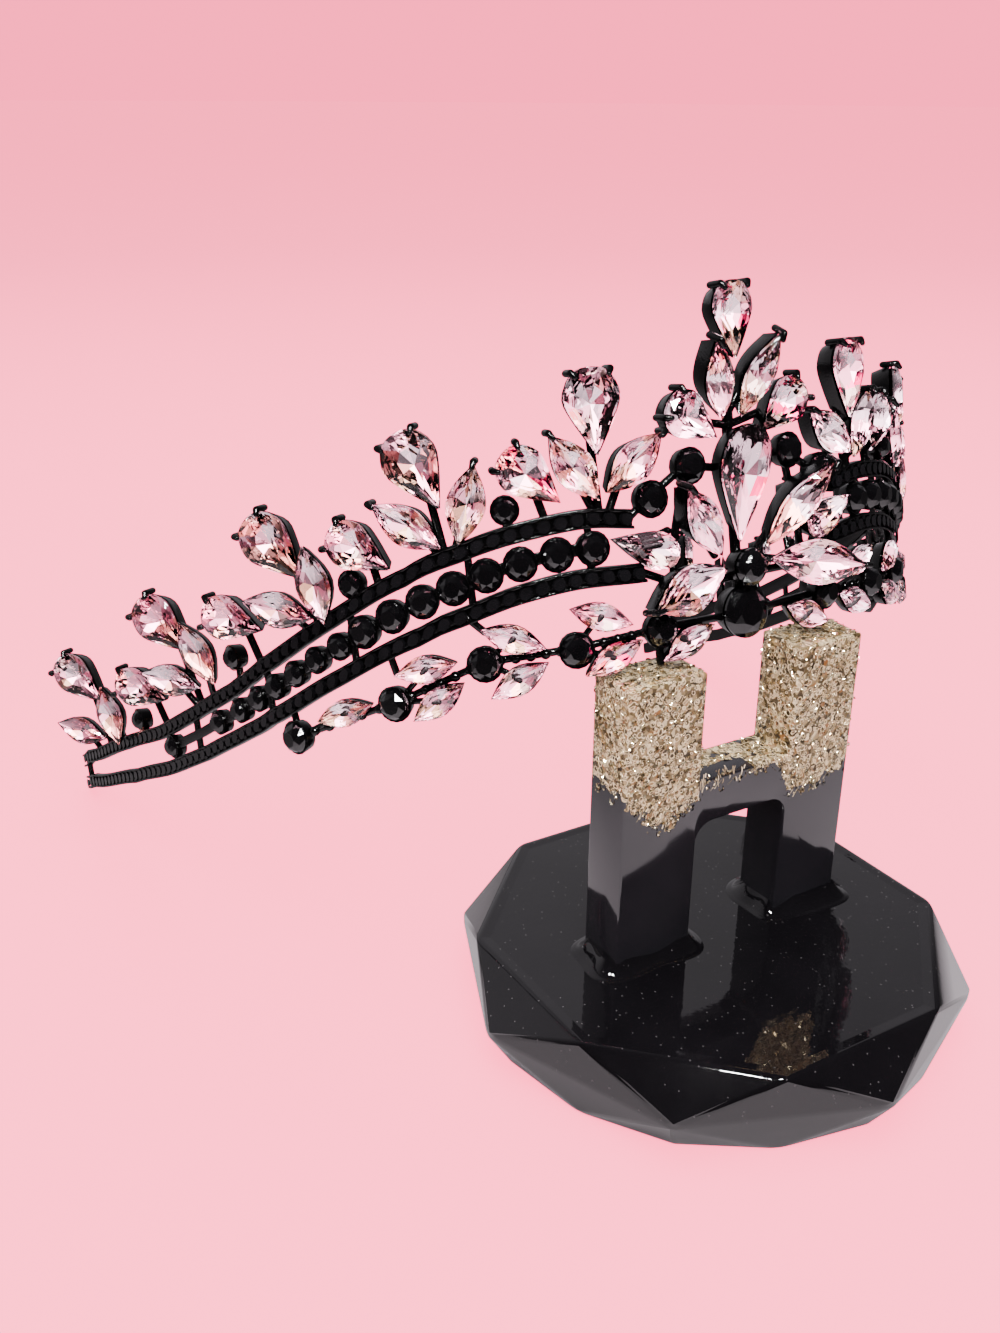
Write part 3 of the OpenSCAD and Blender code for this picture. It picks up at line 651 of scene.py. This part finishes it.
def rod(mesh, a, b, radius, other=None):
    part = bmesh.new()
    ball(part, a, radius)
    ball(part, b, other or radius)
    hull = bmesh.ops.convex_hull(part, input=part.verts)
    bmesh.ops.delete(part, geom=verts_in(hull["geom_interior"]), context="VERTS")
    join_into(mesh, part)


def claw(mesh, point, place, inward, reach):
    part = bmesh.new()
    out = point - inward * CLAW_BACK
    knee = Vector((*out, CLAW_KNEE))
    rod(part, Vector((*out, CLAW_FOOT)), knee, CLAW_RADIUS)
    rod(part, knee, Vector((*(point + inward * reach), CLAW_TIP)), CLAW_RADIUS, CLAW_END)
    join_into(mesh, part, place)


def claws_of(mesh, kind, place):
    ring = outline(kind, 1)
    middle = Vector((0, DROP_MIDDLE * KINDS[kind][1]))
    if kind in ("crest_drop", "top_drop", "low_drop", "shoulder_drop"):
        for point in (ring[3], ring[5]):
            claw(mesh, point, place, (middle - point).normalized(), 0.35)
    if kind in ("crest_leaf", "top_leaf", "upper_petal", "side_petal"):
        claw(mesh, ring[4], place, Vector((0, -1)), 0.5)


metal = bmesh.new()
for _, kind, place, _ in MAIN_SEATS:
    join_into(metal, cup_shape(kind, *CUPS["deep"]), place)
    claws_of(metal, kind, place)
print("cups", len(MAIN_SEATS), "metal faces so far", len(metal.faces))

# %% [markdown]
# The small stones are flat behind, so their cups are shallow. Those between the bands share one strip,
# as a bought cup chain does.

# %% Shallow cups
for name, rows in FIELD_SEATS.items():
    for kind, place in rows:
        join_into(metal, cup_shape(kind, *CUPS["round" if name.endswith("rounds") else "leaf"]), place)
print("shallow cups", sum(map(len, FIELD_SEATS.values())), "metal faces so far", len(metal.faces))

# %% [markdown]
# Stems run from each cup down to the band, a garland wire carries the low leaves, and short wires tie the
# middle to both wings. They are drawn wires with soldered, slightly swollen ends, so each is a rod with
# round ends, and the garland has knobs of solder along it.

# %% Stems, ties and the garland wire
TIES = (
    ((0, 0.5, -2.33), (0.053, 0.53, -1.17), (0.066, 0.36, -1.33), (0.072, 0.22, -1.33),
     (0.091, 0.103, -1.17), (0.091, 0.01, -1.0)),
    ((0.053, 0.53, -1.17), (0.091, 0.458, -1.17), (0.112, 0.412, -0.83)),
    ((0.066, 0.34, -1.33), (0.1, 0.333, -1.33)), ((0.072, 0.22, -1.33), (0.102, 0.265, -0.83)),
    ((0, 0.2, -2.33), (0.072, 0.2, -1.33)), ((0, 0.09, -2.33), (0.091, 0.103, -1.17)))
GARLAND_TIES = ((0.24, 0.16, 0.255), (0.32, 0.06, 0.325), (0.435, -0.13, 0.44))
BAND_TIES = (0.147, 0.247, 0.357, 0.47, 0.615, 0.975)
UPRIGHTS = ((0.62, 0.86, -2.17), (0.08, 0.62, -2.33))
# Radii of the wires, in mm
STEM, THIN, FINE, THICK, KNOB = 0.6, 0.55, 0.45, 0.8, 0.78
# How far out each thing lies, in wires
UNDER_CUP, CENTRE_BACK, UNDER_LEAF, UNDER_ROUND = -2.42, -2.17, 0.83, -1
GARLAND, ON_BAND, IN_BAND = -1.1, -0.75, -0.83


def at(along, up, out, left, most=math.pi):
    return on_wall(wall_point(along * WING, up * RISE, out * WIRE, most), left)


def band_at(part, along, out, left):
    return on_wall(wall_point(along * WING, band_height(part, along * WING), out * WIRE), left)


for _, left in BOTH:
    for _, along, up, _, _, out, foot, foot_up in PAIRS:
        end = at(foot, foot_up, CENTRE_BACK, left) if foot_up else band_at(1, foot, ON_BAND, left)
        rod(metal, at(along, up, out + UNDER_CUP, left, FACE_MOST), end, STEM)
    for along, up, _, foot in BACK_LEAVES:
        rod(metal, at(along, up, UNDER_LEAF, left, FACE_MOST), band_at(1, foot, ON_BAND, left), THIN)
    for along, up, _ in CREST_ROUNDS[2:]:
        rod(metal, at(along, up, UNDER_ROUND, left), band_at(1, along, IN_BAND, left), THIN)
    for a, b in zip(HANGING_ROUNDS, HANGING_ROUNDS[1:]):
        rod(metal, at(*a, GARLAND, left), at(*b, GARLAND, left), THIN)
        for k in range(1, 6):
            along, up = (p + (q - p) * k / 6 for p, q in zip(a, b))
            ball(metal, at(along, up, UNDER_ROUND, left), KNOB)
    for along, up, _, number in HANGING_LEAVES:
        rod(metal, at(along, up, UNDER_ROUND, left), at(*HANGING_ROUNDS[number], GARLAND, left), FINE)
    for along, up, on_band in GARLAND_TIES:
        rod(metal, at(along, up, IN_BAND, left), band_at(0, on_band, IN_BAND, left), THIN)
    for tie in TIES:
        for a, b in zip(tie, tie[1:]):
            rod(metal, at(*a, left), at(*b, left), STEM)
    for share in BAND_TIES:
        rod(metal, band_at(1, share, ON_BAND, left), band_at(0, share, ON_BAND, left), THIN)
for low, high, depth in UPRIGHTS:
    rod(metal, at(0, low, depth, False), at(0, high, depth, False), THICK)
print("metal faces so far", len(metal.faces))

# %% [markdown]
# The two bands are flat strips with a thin wire along each edge and a row of tiny black stones between.
# They are modelled straight, as they were bought, and then every point is carried onto the bent wall.

# %% Bands, modelled straight and then bent
# Part 1 is the upper band, 0 is the lower one and 0.5 is halfway between
BAND_STARTS, BAND_END = {1: 0.108, 0: 0.1}, 0.985
BAND_PARTS = ((-1.0, 1.0, -1.6, -0.75, 0.1), (-1.3, -0.86, -1.55, -0.1, 0.18), (0.86, 1.3, -1.55, -0.1, 0.18))
CHAIN_FROM, CHAIN_TO, CHAIN_STRIP = 0.138, 0.68, (-0.84, 0.84, -1.15, -0.3, 0.15)
TINY_PITCH, TINY_TIERS = 2.25, ((0.98, 0.8, -0.525), (0.84, 0.5, 0.05))


def bend_onto_wall(mesh, part, left):
    for v in mesh.verts:
        s, out, w = v.co
        v.co = on_wall(wall_point(s, w + band_height(part, s), out), left)
    return mesh


def lengthwise(mesh):
    return [e for e in mesh.edges if abs(e.verts[0].co.x - e.verts[1].co.x) > 1]


def long_box(mesh, start, end, low, high, inner, outer, soft):
    part = bmesh.new()
    bmesh.ops.create_cube(part, size=1)
    bmesh.ops.scale(part, vec=(end - start, outer - inner, high - low), verts=part.verts)
    middle = ((start + end) / 2, (inner + outer) / 2, (low + high) / 2)
    bmesh.ops.translate(part, vec=middle, verts=part.verts)
    round_edges(part, lengthwise(part), soft, 2)
    bmesh.ops.subdivide_edges(part, edges=lengthwise(part), cuts=90)
    join_into(mesh, part)


def bent_strip(start, end, sections, part, left):
    mesh = bmesh.new()
    for section in sections:
        long_box(mesh, start * WING, end * WING, *section)
    return bend_onto_wall(mesh, part, left)


def tiny_stones(start, part, left):
    mesh = bmesh.new()
    for k in range(int((BAND_END - start) * WING / TINY_PITCH)):
        s = start * WING + TINY_PITCH * (k + 0.5)
        for radius, top, out in TINY_TIERS:
            bmesh.ops.create_cone(mesh, cap_ends=True, segments=8, radius1=radius, radius2=radius * top,
                                  depth=0.45, matrix=Matrix.Translation((s, out, 0)) @ UPRIGHT)
    return bend_onto_wall(mesh, part, left)


tiny = bmesh.new()
for _, left in BOTH:
    for part, start in BAND_STARTS.items():
        join_into(metal, bent_strip(start, BAND_END, BAND_PARTS, part, left))
        join_into(tiny, tiny_stones(start, part, left))
    join_into(metal, bent_strip(CHAIN_FROM, CHAIN_TO, [CHAIN_STRIP], 0.5, left))
metal_piece = finish_piece(metal, "tiara_frame_metal", [BLACK_METAL], sharp=42)
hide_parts("tiara_frame")
tiny_piece = finish_piece(tiny, "tiny_band_stones", [JET_BEADS])
print("metal faces", len(metal_piece.data.polygons), "tiny stones' faces", len(tiny_piece.data.polygons))

# %% [markdown]
# The base was cast in a faceted mould, so its edges are soft and the rim of the top stands up a little
# where the resin crept up the wall. A merged copy of the solid is bevelled, and its top face is inset and
# sunk by a hair, which is quicker and truer than drawing the facets again.

# %% The base with soft edges
RIM, CREPT_UP, SUNK, TOP_FROM = 0.7, 1.4, -0.09, 12.3

mesh = bmesh.new()
mesh.from_mesh(NODES["stand_base"].data)
bmesh.ops.remove_doubles(mesh, verts=mesh.verts, dist=1e-6)
bmesh.ops.dissolve_limit(mesh, angle_limit=0.02, verts=mesh.verts, edges=mesh.edges)
bmesh.ops.scale(mesh, vec=(1000, 1000, 1000), verts=mesh.verts)
top = max(mesh.faces, key=lambda f: f.calc_center_median().z)
bmesh.ops.inset_region(mesh, faces=[top], thickness=RIM, depth=0)
bmesh.ops.inset_region(mesh, faces=[top], thickness=CREPT_UP, depth=SUNK)
edges = [e for e in mesh.edges if len(e.link_faces) == 2 and e.calc_face_angle() > 0.12
         and any(f.calc_center_median().z < TOP_FROM for f in e.link_faces)]
for face in round_edges(mesh, edges, 0.45, 3, clamp=True)["faces"]:
    face.smooth = True
piece = finish_piece(mesh, "cast_base", [BLACK_RESIN])
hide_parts("stand_base")
highest = max(v.co.z for v in piece.data.vertices)
print("base", len(piece.data.polygons), "faces, top at", round(highest * 1000, 2), "mm")

# %% [markdown]
# The two posts and their bar are one casting, black below and clear above, with chips of champagne foil
# in the clear part. The border wanders, because the chips were pushed in by hand. A true clear block with
# thousands of chips inside is slow to render, so the surface carries a chip pattern, with thin light rings
# on it that are painted glints on the curled chips, and real flakes lie just in it and catch the light one
# by one.

# %% Two colours of resin with a wandering border
BORDER_FROM, BORDER_TO, BORDER_LOW, BORDER_HIGH = -0.0205, 0.0213, 0.033, 0.043
BORDER = ((0.0, 0.8), (0.13, 0.33), (0.22, 0.3), (0.31, 0.52), (0.33, 0.7), (0.68, 0.66), (0.72, 0.2),
          (0.85, 0.16), (1.0, 0.4))
SLOT_BACK, SLOT_MIDDLE, SLOT_HALF, SLOT_TOP = -0.0006, -0.0024, 0.0050, 0.0406
CHIP_TONES = ((0.0, (0.02, 0.013, 0.006)), (0.25, (0.09, 0.06, 0.025)), (0.5, (0.2, 0.14, 0.065)),
              (0.75, (0.38, 0.27, 0.13)), (0.87, (0.28, 0.11, 0.03)), (0.93, (0.66, 0.52, 0.3)))
BEND = (0.0016, 0.0016, 0.0016)


def split(tree, kind, value):
    made = tree.nodes.new(kind)
    tree.links.new(value, made.inputs[0])
    return made.outputs


def mapped(tree, value, low, high, way="LINEAR"):
    made = node(tree, "ShaderNodeMapRange", Value=value, From_Min=low, From_Max=high)
    made.interpolation_type = way
    return made.outputs[0]


def clear_part(tree, place):
    x, y, z = split(tree, "ShaderNodeSeparateXYZ", place)
    heights = [(share, (level, level, level)) for share, level in BORDER]
    height = ramp(tree, mapped(tree, x, BORDER_FROM, BORDER_TO), heights)
    ragged = node(tree, "ShaderNodeTexNoise", Vector=place, Scale=420.0, Detail=3.0)
    uneven = math_node(tree, "SUBTRACT", ragged.outputs[0], 0.5)
    line = math_node(tree, "MULTIPLY_ADD", height, BORDER_HIGH - BORDER_LOW, BORDER_LOW)
    line = math_node(tree, "ADD", line, math_node(tree, "MULTIPLY", uneven, 0.008))
    depth = math_node(tree, "ADD", y, math_node(tree, "MULTIPLY", uneven, 0.004))
    front = math_node(tree, "LESS_THAN", depth, SLOT_BACK)
    inside = math_node(tree, "COMPARE", x, SLOT_MIDDLE, SLOT_HALF)
    low = math_node(tree, "LESS_THAN", z, SLOT_TOP)
    slot = math_node(tree, "MULTIPLY", math_node(tree, "MULTIPLY", front, inside), low)
    above = math_node(tree, "GREATER_THAN", z, line)
    return math_node(tree, "MULTIPLY", above, math_node(tree, "SUBTRACT", 1.0, slot))


def curls(tree, place, scale, width):
    rings = node(tree, "ShaderNodeTexVoronoi", Vector=place, Scale=scale, Randomness=1.0)
    return math_node(tree, "COMPARE", rings.outputs["Distance"], 0.36, width)


POST_RESIN, tree, shader, marks = start_material("chip_resin", 260, 0.07, 0.12)
place = object_place(tree)
clear = clear_part(tree, place)
bend = node(tree, "ShaderNodeTexNoise", Vector=place, Scale=500.0, Detail=1.0).outputs["Color"]
curled = operate(tree, "ShaderNodeVectorMath", "MULTIPLY_ADD", (bend, BEND, place)).outputs[0]
chips = node(tree, "ShaderNodeTexVoronoi", Vector=curled, Scale=1500.0, Randomness=1.0).outputs
tone = split(tree, "ShaderNodeSeparateColor", chips["Color"])
small, large = curls(tree, curled, 1300.0, 0.07), curls(tree, place, 800.0, 0.05)
ringed = math_node(tree, "MAXIMUM", small, large)
# The rings take a light champagne, painted glints on the curled edges of the chips
chips_and_painted_glints = mixed(tree, ringed, ramp(tree, tone["Red"], CHIP_TONES), (0.9, 0.7, 0.42))
black = mixed(tree, marks["Shade"], (0.003, 0.003, 0.004), (0.012, 0.011, 0.013))
fill(tree, shader, Base_Color=mixed(tree, clear, black, chips_and_painted_glints), Coat_Weight=0.2, Coat_Roughness=0.04,
     Metallic=math_node(tree, "MULTIPLY", clear, 0.55),
     Roughness=math_node(tree, "MULTIPLY_ADD", clear, 0.22, marks["Roughness"]))
heights = math_node(tree, "ADD", math_node(tree, "ADD", tone["Green"], chips["Distance"]), ringed)
bump(tree, shader, math_node(tree, "MULTIPLY", heights, clear), 0.7, 0.0003)
print("material", POST_RESIN.name, "nodes", len(POST_RESIN.node_tree.nodes))

# %% [markdown]
# The posts' front is drawn once as a face and pulled back to its depth. The two upper corners of the
# opening are rounded by a bevel of three millimetres, and every other edge by a small one.

# %% Posts and bar
POST_EDGES = (-20.5, -7.3, 9.3, 21.3)
POST_LEVELS = (12.6, 33.5, 40.5, 57.5)
HALF_DEEP = 4.05
ARCH_CORNER, SOFT_EDGE = 3, 0.35

x, z = POST_EDGES, POST_LEVELS
corners = ((x[0], z[0]), (x[1], z[0]), (x[1], z[1]), (x[2], z[1]), (x[2], z[0]), (x[3], z[0]),
           (x[3], z[3]), (x[2], z[3]), (x[2], z[2]), (x[1], z[2]), (x[1], z[3]), (x[0], z[3]))
mesh = bmesh.new()
front = mesh.faces.new([mesh.verts.new((a, -HALF_DEEP, b)) for a, b in corners])
pulled = bmesh.ops.extrude_face_region(mesh, geom=[front], use_keep_orig=True)["geom"]
bmesh.ops.translate(mesh, vec=(0, 2 * HALF_DEEP, 0), verts=verts_in(pulled))
bmesh.ops.recalc_face_normals(mesh, faces=mesh.faces)
deep = [e for e in mesh.edges if abs(e.verts[0].co.y - e.verts[1].co.y) > HALF_DEEP]
round_edges(mesh, [e for e in deep if abs(e.verts[0].co.z - z[1]) < 0.01], ARCH_CORNER, 8)
sharp = [e for e in mesh.edges if e.calc_face_angle(0) > 0.9 and e.verts[0].co.z + e.verts[1].co.z > 26]
round_edges(mesh, sharp, SOFT_EDGE, 3)
piece = finish_piece(mesh, "cast_posts", [POST_RESIN], sharp=30)
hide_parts("stand_posts")
print("posts", len(piece.data.polygons), "faces")

# %% [markdown]
# The flakes are bits of crumpled foil, each a small bent strip of a few faces, and a few thin strands
# lie across the border. Each has one random number in its faces, which the foil reads for its shade.

# %% Foil, one flake and one strand
SKIN = HALF_DEEP + 0.01


def make_flake_foil():
    material, tree, shader, marks = start_material("champagne_foil", 900, 0.12, 0.2)
    shade = mixed(tree, facet_number(tree), (0.2, 0.13, 0.06), (1.0, 0.84, 0.56))
    fill(tree, shader, Base_Color=shade, Metallic=0.9)
    bump(tree, shader, marks["Height"], 0.1)
    return material


def border_height(x, dice):
    share = min(max((x / 1000 - BORDER_FROM) / (BORDER_TO - BORDER_FROM), 0), 1)
    level = smooth_row(BORDER, min(share, 0.999))
    return 1000 * (BORDER_LOW + level * (BORDER_HIGH - BORDER_LOW)) + dice.uniform(-1.2, 1.2)


def give_tone(verts, shade, tone):
    for face in {f for v in verts for f in v.link_faces}:
        face[shade] = tone


def flake(mesh, shade, place, dice):
    made = bmesh.ops.create_grid(mesh, x_segments=5, y_segments=1, size=0.5)["verts"]
    radius, sweep, wide = dice.uniform(0.26, 0.6), dice.uniform(1.2, 4.0), dice.uniform(0.14, 0.26)
    tone = dice.random()
    for v in made:
        reach, angle = radius + v.co.y * wide, v.co.x * sweep
        v.co = Vector((reach * math.cos(angle), 0.8 * reach * math.sin(angle), 1.1 * wide * v.co.y))
    turned = Matrix.Rotation(dice.uniform(0, math.tau), 4, "Z") @ Matrix.Rotation(dice.gauss(0, 0.3), 4, "Y")
    bmesh.ops.transform(mesh, matrix=place @ turned, verts=made)
    give_tone(made, shade, tone)


def strand(mesh, shade, x, z, length, dice):
    made = bmesh.ops.create_grid(mesh, x_segments=1, y_segments=4, size=0.5)["verts"]
    bend, lean, wide = dice.uniform(-0.9, 0.9), dice.gauss(0, 0.6), dice.uniform(0.1, 0.2)
    tone = dice.random()
    for v in made:
        down = v.co.y * length
        aside = wide * v.co.x + lean * down + bend * v.co.y * v.co.y
        v.co = Vector((x + aside, -SKIN - 0.04 * v.co.x, z + down))
    give_tone(made, shade, tone)


print("border at the middle of the left post", round(border_height(-14, random.Random(1)), 1), "mm")

# %% [markdown]
# The flakes are scattered over the clear part's faces by area, with a fixed seed, so that each run gives
# the same casting. A point below the border or on the black wall of the slot is thrown away. The finished
# flakes are moved over in batches, as adding to a small mesh is quick and to a large one is slow.

# %% Foil flakes in the clear resin
FLAKES, STRANDS, LOW_FLAKES, BATCH = 3200, 110, 160, 50
POST_FLAKES_FROM, BAR_FLAKES_FROM = 33, 38.5
OVER = Matrix.Rotation(math.pi, 4, "X")
FACED = {"x": Matrix.Rotation(math.pi / 2, 4, "Y"), "y": UPRIGHT, "z": Matrix()}


def clear_panels():
    left, slot_left, slot_right, right = POST_EDGES
    bar_top, top = POST_LEVELS[2:]
    low, deep = POST_FLAKES_FROM, HALF_DEEP
    panels = []
    for x0, x1, z0, z1 in ((left, slot_left, low, top), (slot_right, right, low, top),
                           (slot_left, slot_right, BAR_FLAKES_FROM, bar_top)):
        panels += [((x0, -deep, z0), (x1, -deep, z1), "y", -1), ((x0, deep, z0), (x1, deep, z1), "y", 1),
                   ((x0, -deep, z1), (x1, deep, z1), "z", 1)]
    for x, z, way in ((left, low, -1), (right, low, 1), (slot_left, bar_top, 1), (slot_right, bar_top, -1)):
        panels.append(((x, -deep, z), (x, deep, top), "x", way))
    return panels


def outside_clear(point, dice):
    if point.z < border_height(point.x, dice):
        return True
    beside = abs(point.x - 1000 * SLOT_MIDDLE)
    return point.y < 1000 * SLOT_BACK and point.z < 1000 * SLOT_TOP and beside < 1000 * SLOT_HALF


dice = random.Random(7)
mesh, _ = facet_mesh()
batch, shade = facet_mesh()
panels = clear_panels()
areas = [math.prod(q - p for p, q, k in zip(a, b, "xyz") if k != axis) for a, b, axis, _ in panels]
made = 0
while made < FLAKES:
    a, b, axis, way = dice.choices(panels, areas)[0]
    point = Vector(dice.uniform(p + 0.5, q - 0.5) if q - p > 1 else p for p, q in zip(a, b))
    if outside_clear(point, dice):
        continue
    point["xyz".index(axis)] += way * 0.01
    facing = FACED[axis] @ OVER if way < 0 else FACED[axis]
    flake(batch, shade, Matrix.Translation(point) @ facing, dice)
    made += 1
    if made % BATCH == 0:
        join_into(mesh, batch)
        batch, shade = facet_mesh()
for _ in range(STRANDS):
    x = dice.uniform(POST_EDGES[0] + 0.9, POST_EDGES[3] - 0.9)
    strand(batch, shade, x, border_height(x, dice) + 0.2, dice.uniform(0.5, 1.5), dice)
for _ in range(LOW_FLAKES):
    x = dice.uniform(POST_EDGES[0] + 0.6, POST_EDGES[3] - 0.6)
    place = Matrix.Translation((x, -SKIN, border_height(x, dice) - abs(dice.gauss(0, 0.5))))
    flake(batch, shade, place @ FACED["y"] @ OVER, dice)
join_into(mesh, batch)
piece = finish_piece(mesh, "foil_flakes", [make_flake_foil()])
print("flakes", len(piece.data.polygons), "faces")

# %% [markdown]
# Resin ran out under each post as it was glued down, crept up the walls and set as a low uneven puddle.
# Its outline starts as a circle, pushed out to a loose square round the foot. The face is then inset and
# raised a few times, less and less far apart, so that the slope steepens toward the post.

# %% Puddles of resin at the posts' feet
CREEP = ((0.25, 0.14), (0.3, 0.06), (0.3, 0.12), (0.3, 0.22), (0.35, 0.36), (0.35, 0.42), (0.3, 0.45),
         (0.25, 0.5))
WAVES, SPREAD, PUDDLE_FOOT = ((0.45, 2), (0.3, 3), (0.12, 7)), 2.7, 12.42

mesh = bmesh.new()
dice = random.Random(3)
for x0, x1 in (POST_EDGES[:2], POST_EDGES[2:]):
    part = bmesh.new()
    bmesh.ops.create_circle(part, cap_ends=True, segments=72, radius=1)
    phases = [dice.uniform(0, math.tau) for _ in WAVES]
    half = Vector(((x1 - x0) / 2, HALF_DEEP))
    for v in part.verts:
        angle = math.atan2(v.co.y, v.co.x)
        c, s = math.cos(angle), math.sin(angle)
        spread = SPREAD + sum(amount * math.sin(times * angle + phase)
                              for (amount, times), phase in zip(WAVES, phases))
        square = (abs(c) ** 4 + abs(s) ** 4) ** -0.25
        v.co = ((half.x + spread) * c * square, (half.y + spread) * s * square, PUDDLE_FOOT)
    part.normal_update()
    bmesh.ops.reverse_faces(part, faces=[f for f in part.faces if f.normal.z < 0])
    middle = list(part.faces)[0]
    for thickness, rise in CREEP:
        bmesh.ops.inset_individual(part, faces=[middle], thickness=thickness, depth=rise,
                                   use_even_offset=True)
    bmesh.ops.holes_fill(part, edges=[e for e in part.edges if e.is_boundary], sides=0)
    bmesh.ops.translate(part, vec=((x0 + x1) / 2, 0, 0), verts=part.verts)
    join_into(mesh, part)
piece = finish_piece(mesh, "resin_collars", [BLACK_RESIN], sharp=60)
print("collars", len(piece.data.polygons), "faces")

# %% [markdown]
# The floor is one large pale pink sheet, and the light is soft and comes from all round, with wide boxes
# above and in front and two small lamps for the glints. The camera sees the paper at its full brightness,
# as a painted glow that is lighter near the stand and dimmer far off, while the black resin and metal see
# it dimmer, as they would with dark cards held round them in a studio: a painted reflection, lighter just
# in front of the stand and fading away from it.
# Nothing of this belongs to the diadem.

# %% Floor of pink paper
# Painted glow of the paper near and far, and the painted reflection that glossy rays see
NEAR_PAINTED_GLOW, FAR_PAINTED_GLOW = (4.7, 0.37, 0.94), (3.25, 0.23, 0.62)
PAINTED_REFLECTION_PINK = ((0.0, (0.32, 0.28, 0.3)), (0.5, (0.07, 0.062, 0.066)), (1.0, (0.015, 0.013, 0.014)))
FLOOR_RADIUS, JUST_BELOW = 9.0, -0.0002


def distance_share(tree, middle, near, far):
    reach = operate(tree, "ShaderNodeVectorMath", "DISTANCE", (object_place(tree), middle))
    return mapped(tree, reach.outputs["Value"], near, far, "SMOOTHSTEP")


def make_paper():
    material, tree, shader, marks = start_material("floor_paper", 20, 0.6, 0.1)
    ray = tree.nodes.new("ShaderNodeLightPath").outputs
    seen = ray["Is Camera Ray"]
    paper = mixed(tree, marks["Shade"], (0.14, 0.045, 0.06), (0.16, 0.05, 0.07))
    # Painted reflection for glossy rays: lighter in front of the stand, darker further off
    painted_reflection = ramp(tree, distance_share(tree, (-0.03, -0.09, 0), 0.07, 0.32), PAINTED_REFLECTION_PINK)
    unseen = mixed(tree, ray["Is Glossy Ray"], (0.42, 0.2, 0.26), painted_reflection)
    # Painted glow for the camera: lighter near the stand, dimmer far off
    painted_glow = mixed(tree, distance_share(tree, (0, 0, 0), 0.1, 1.1), NEAR_PAINTED_GLOW, FAR_PAINTED_GLOW)
    fill(tree, shader, Base_Color=mixed(tree, seen, unseen, paper), Emission_Color=painted_glow,
         Emission_Strength=seen)
    return material


mesh = bmesh.new()
bmesh.ops.create_circle(mesh, cap_ends=True, segments=64, radius=FLOOR_RADIUS)
bmesh.ops.translate(mesh, vec=(0, 0, JUST_BELOW), verts=mesh.verts)
floor = show("floor", to_data(mesh, "floor"))
floor.data.materials.append(make_paper())
print("floor", round(floor.dimensions.x, 1), "m wide")

# %% [markdown]
# Wide soft boxes light the whole, and two small lamps put a sharp glint on each stone. The boxes are hidden
# from glossy rays, or the resin would show them as bright squares. The sky answers each kind of ray in its
# own way: pink to the camera, dark to glossy rays, and bright above to the rays that pass through glass.

# %% Lamps and sky
HEART = Vector((0, 0.03, 0.05))
BOXES = (("box_above", (-0.1, 0.1, 1.3), 1.2, 60), ("box_front", (-0.35, -0.8, 1.1), 0.8, 30),
         ("box_left", (-0.9, -0.2, 0.8), 0.7, 5))
LAMPS = (("lamp_1", (-0.24, -0.3, 0.55), 0.06, 7), ("lamp_2", (-0.1, -0.34, 0.55), 0.06, 7))
CAMERA_SKY = (3.45, 0.34, 0.76)


def make_light(name, place, size, watts):
    data = bpy.data.lights.new(name, "AREA")
    data.shape = "SQUARE"
    data.size = size
    data.energy = watts
    light = show(name, data)
    light.location = place
    light.rotation_euler = (Vector(place) - HEART).to_track_quat("Z", "Y").to_euler()
    return light


for row in BOXES:
    make_light(*row).visible_glossy = False
for row in LAMPS:
    lamp = make_light(*row)
    lamp.visible_diffuse = False
    lamp.visible_transmission = False

world = bpy.data.worlds.new("sky")
world.use_nodes = True
tree = world.node_tree
way = tree.nodes.new("ShaderNodeTexCoord").outputs["Generated"]
_, away, high = split(tree, "ShaderNodeSeparateXYZ", way)
high_or_near = math_node(tree, "MULTIPLY_ADD", away, -0.55, high)
ray = tree.nodes.new("ShaderNodeLightPath").outputs
colour = ramp(tree, high, ((0.1, (0.3, 0.28, 0.29)), (0.9, (2.2, 2.14, 2.17))), "EASE")
glossy = ramp(tree, away, ((0.0, (0.05, 0.046, 0.05)), (0.8, (0.66, 0.62, 0.66))), "EASE")
through = ramp(tree, high_or_near, ((0.1, (0.8, 0.36, 0.48)), (0.85, (6.6, 5.4, 5.8))), "EASE")
for kind, other in (("Glossy", glossy), ("Transmission", through), ("Camera", CAMERA_SKY)):
    colour = mixed(tree, ray["Is " + kind + " Ray"], colour, other)
fill(tree, tree.nodes["Background"], Color=colour)
bpy.context.scene.world = world
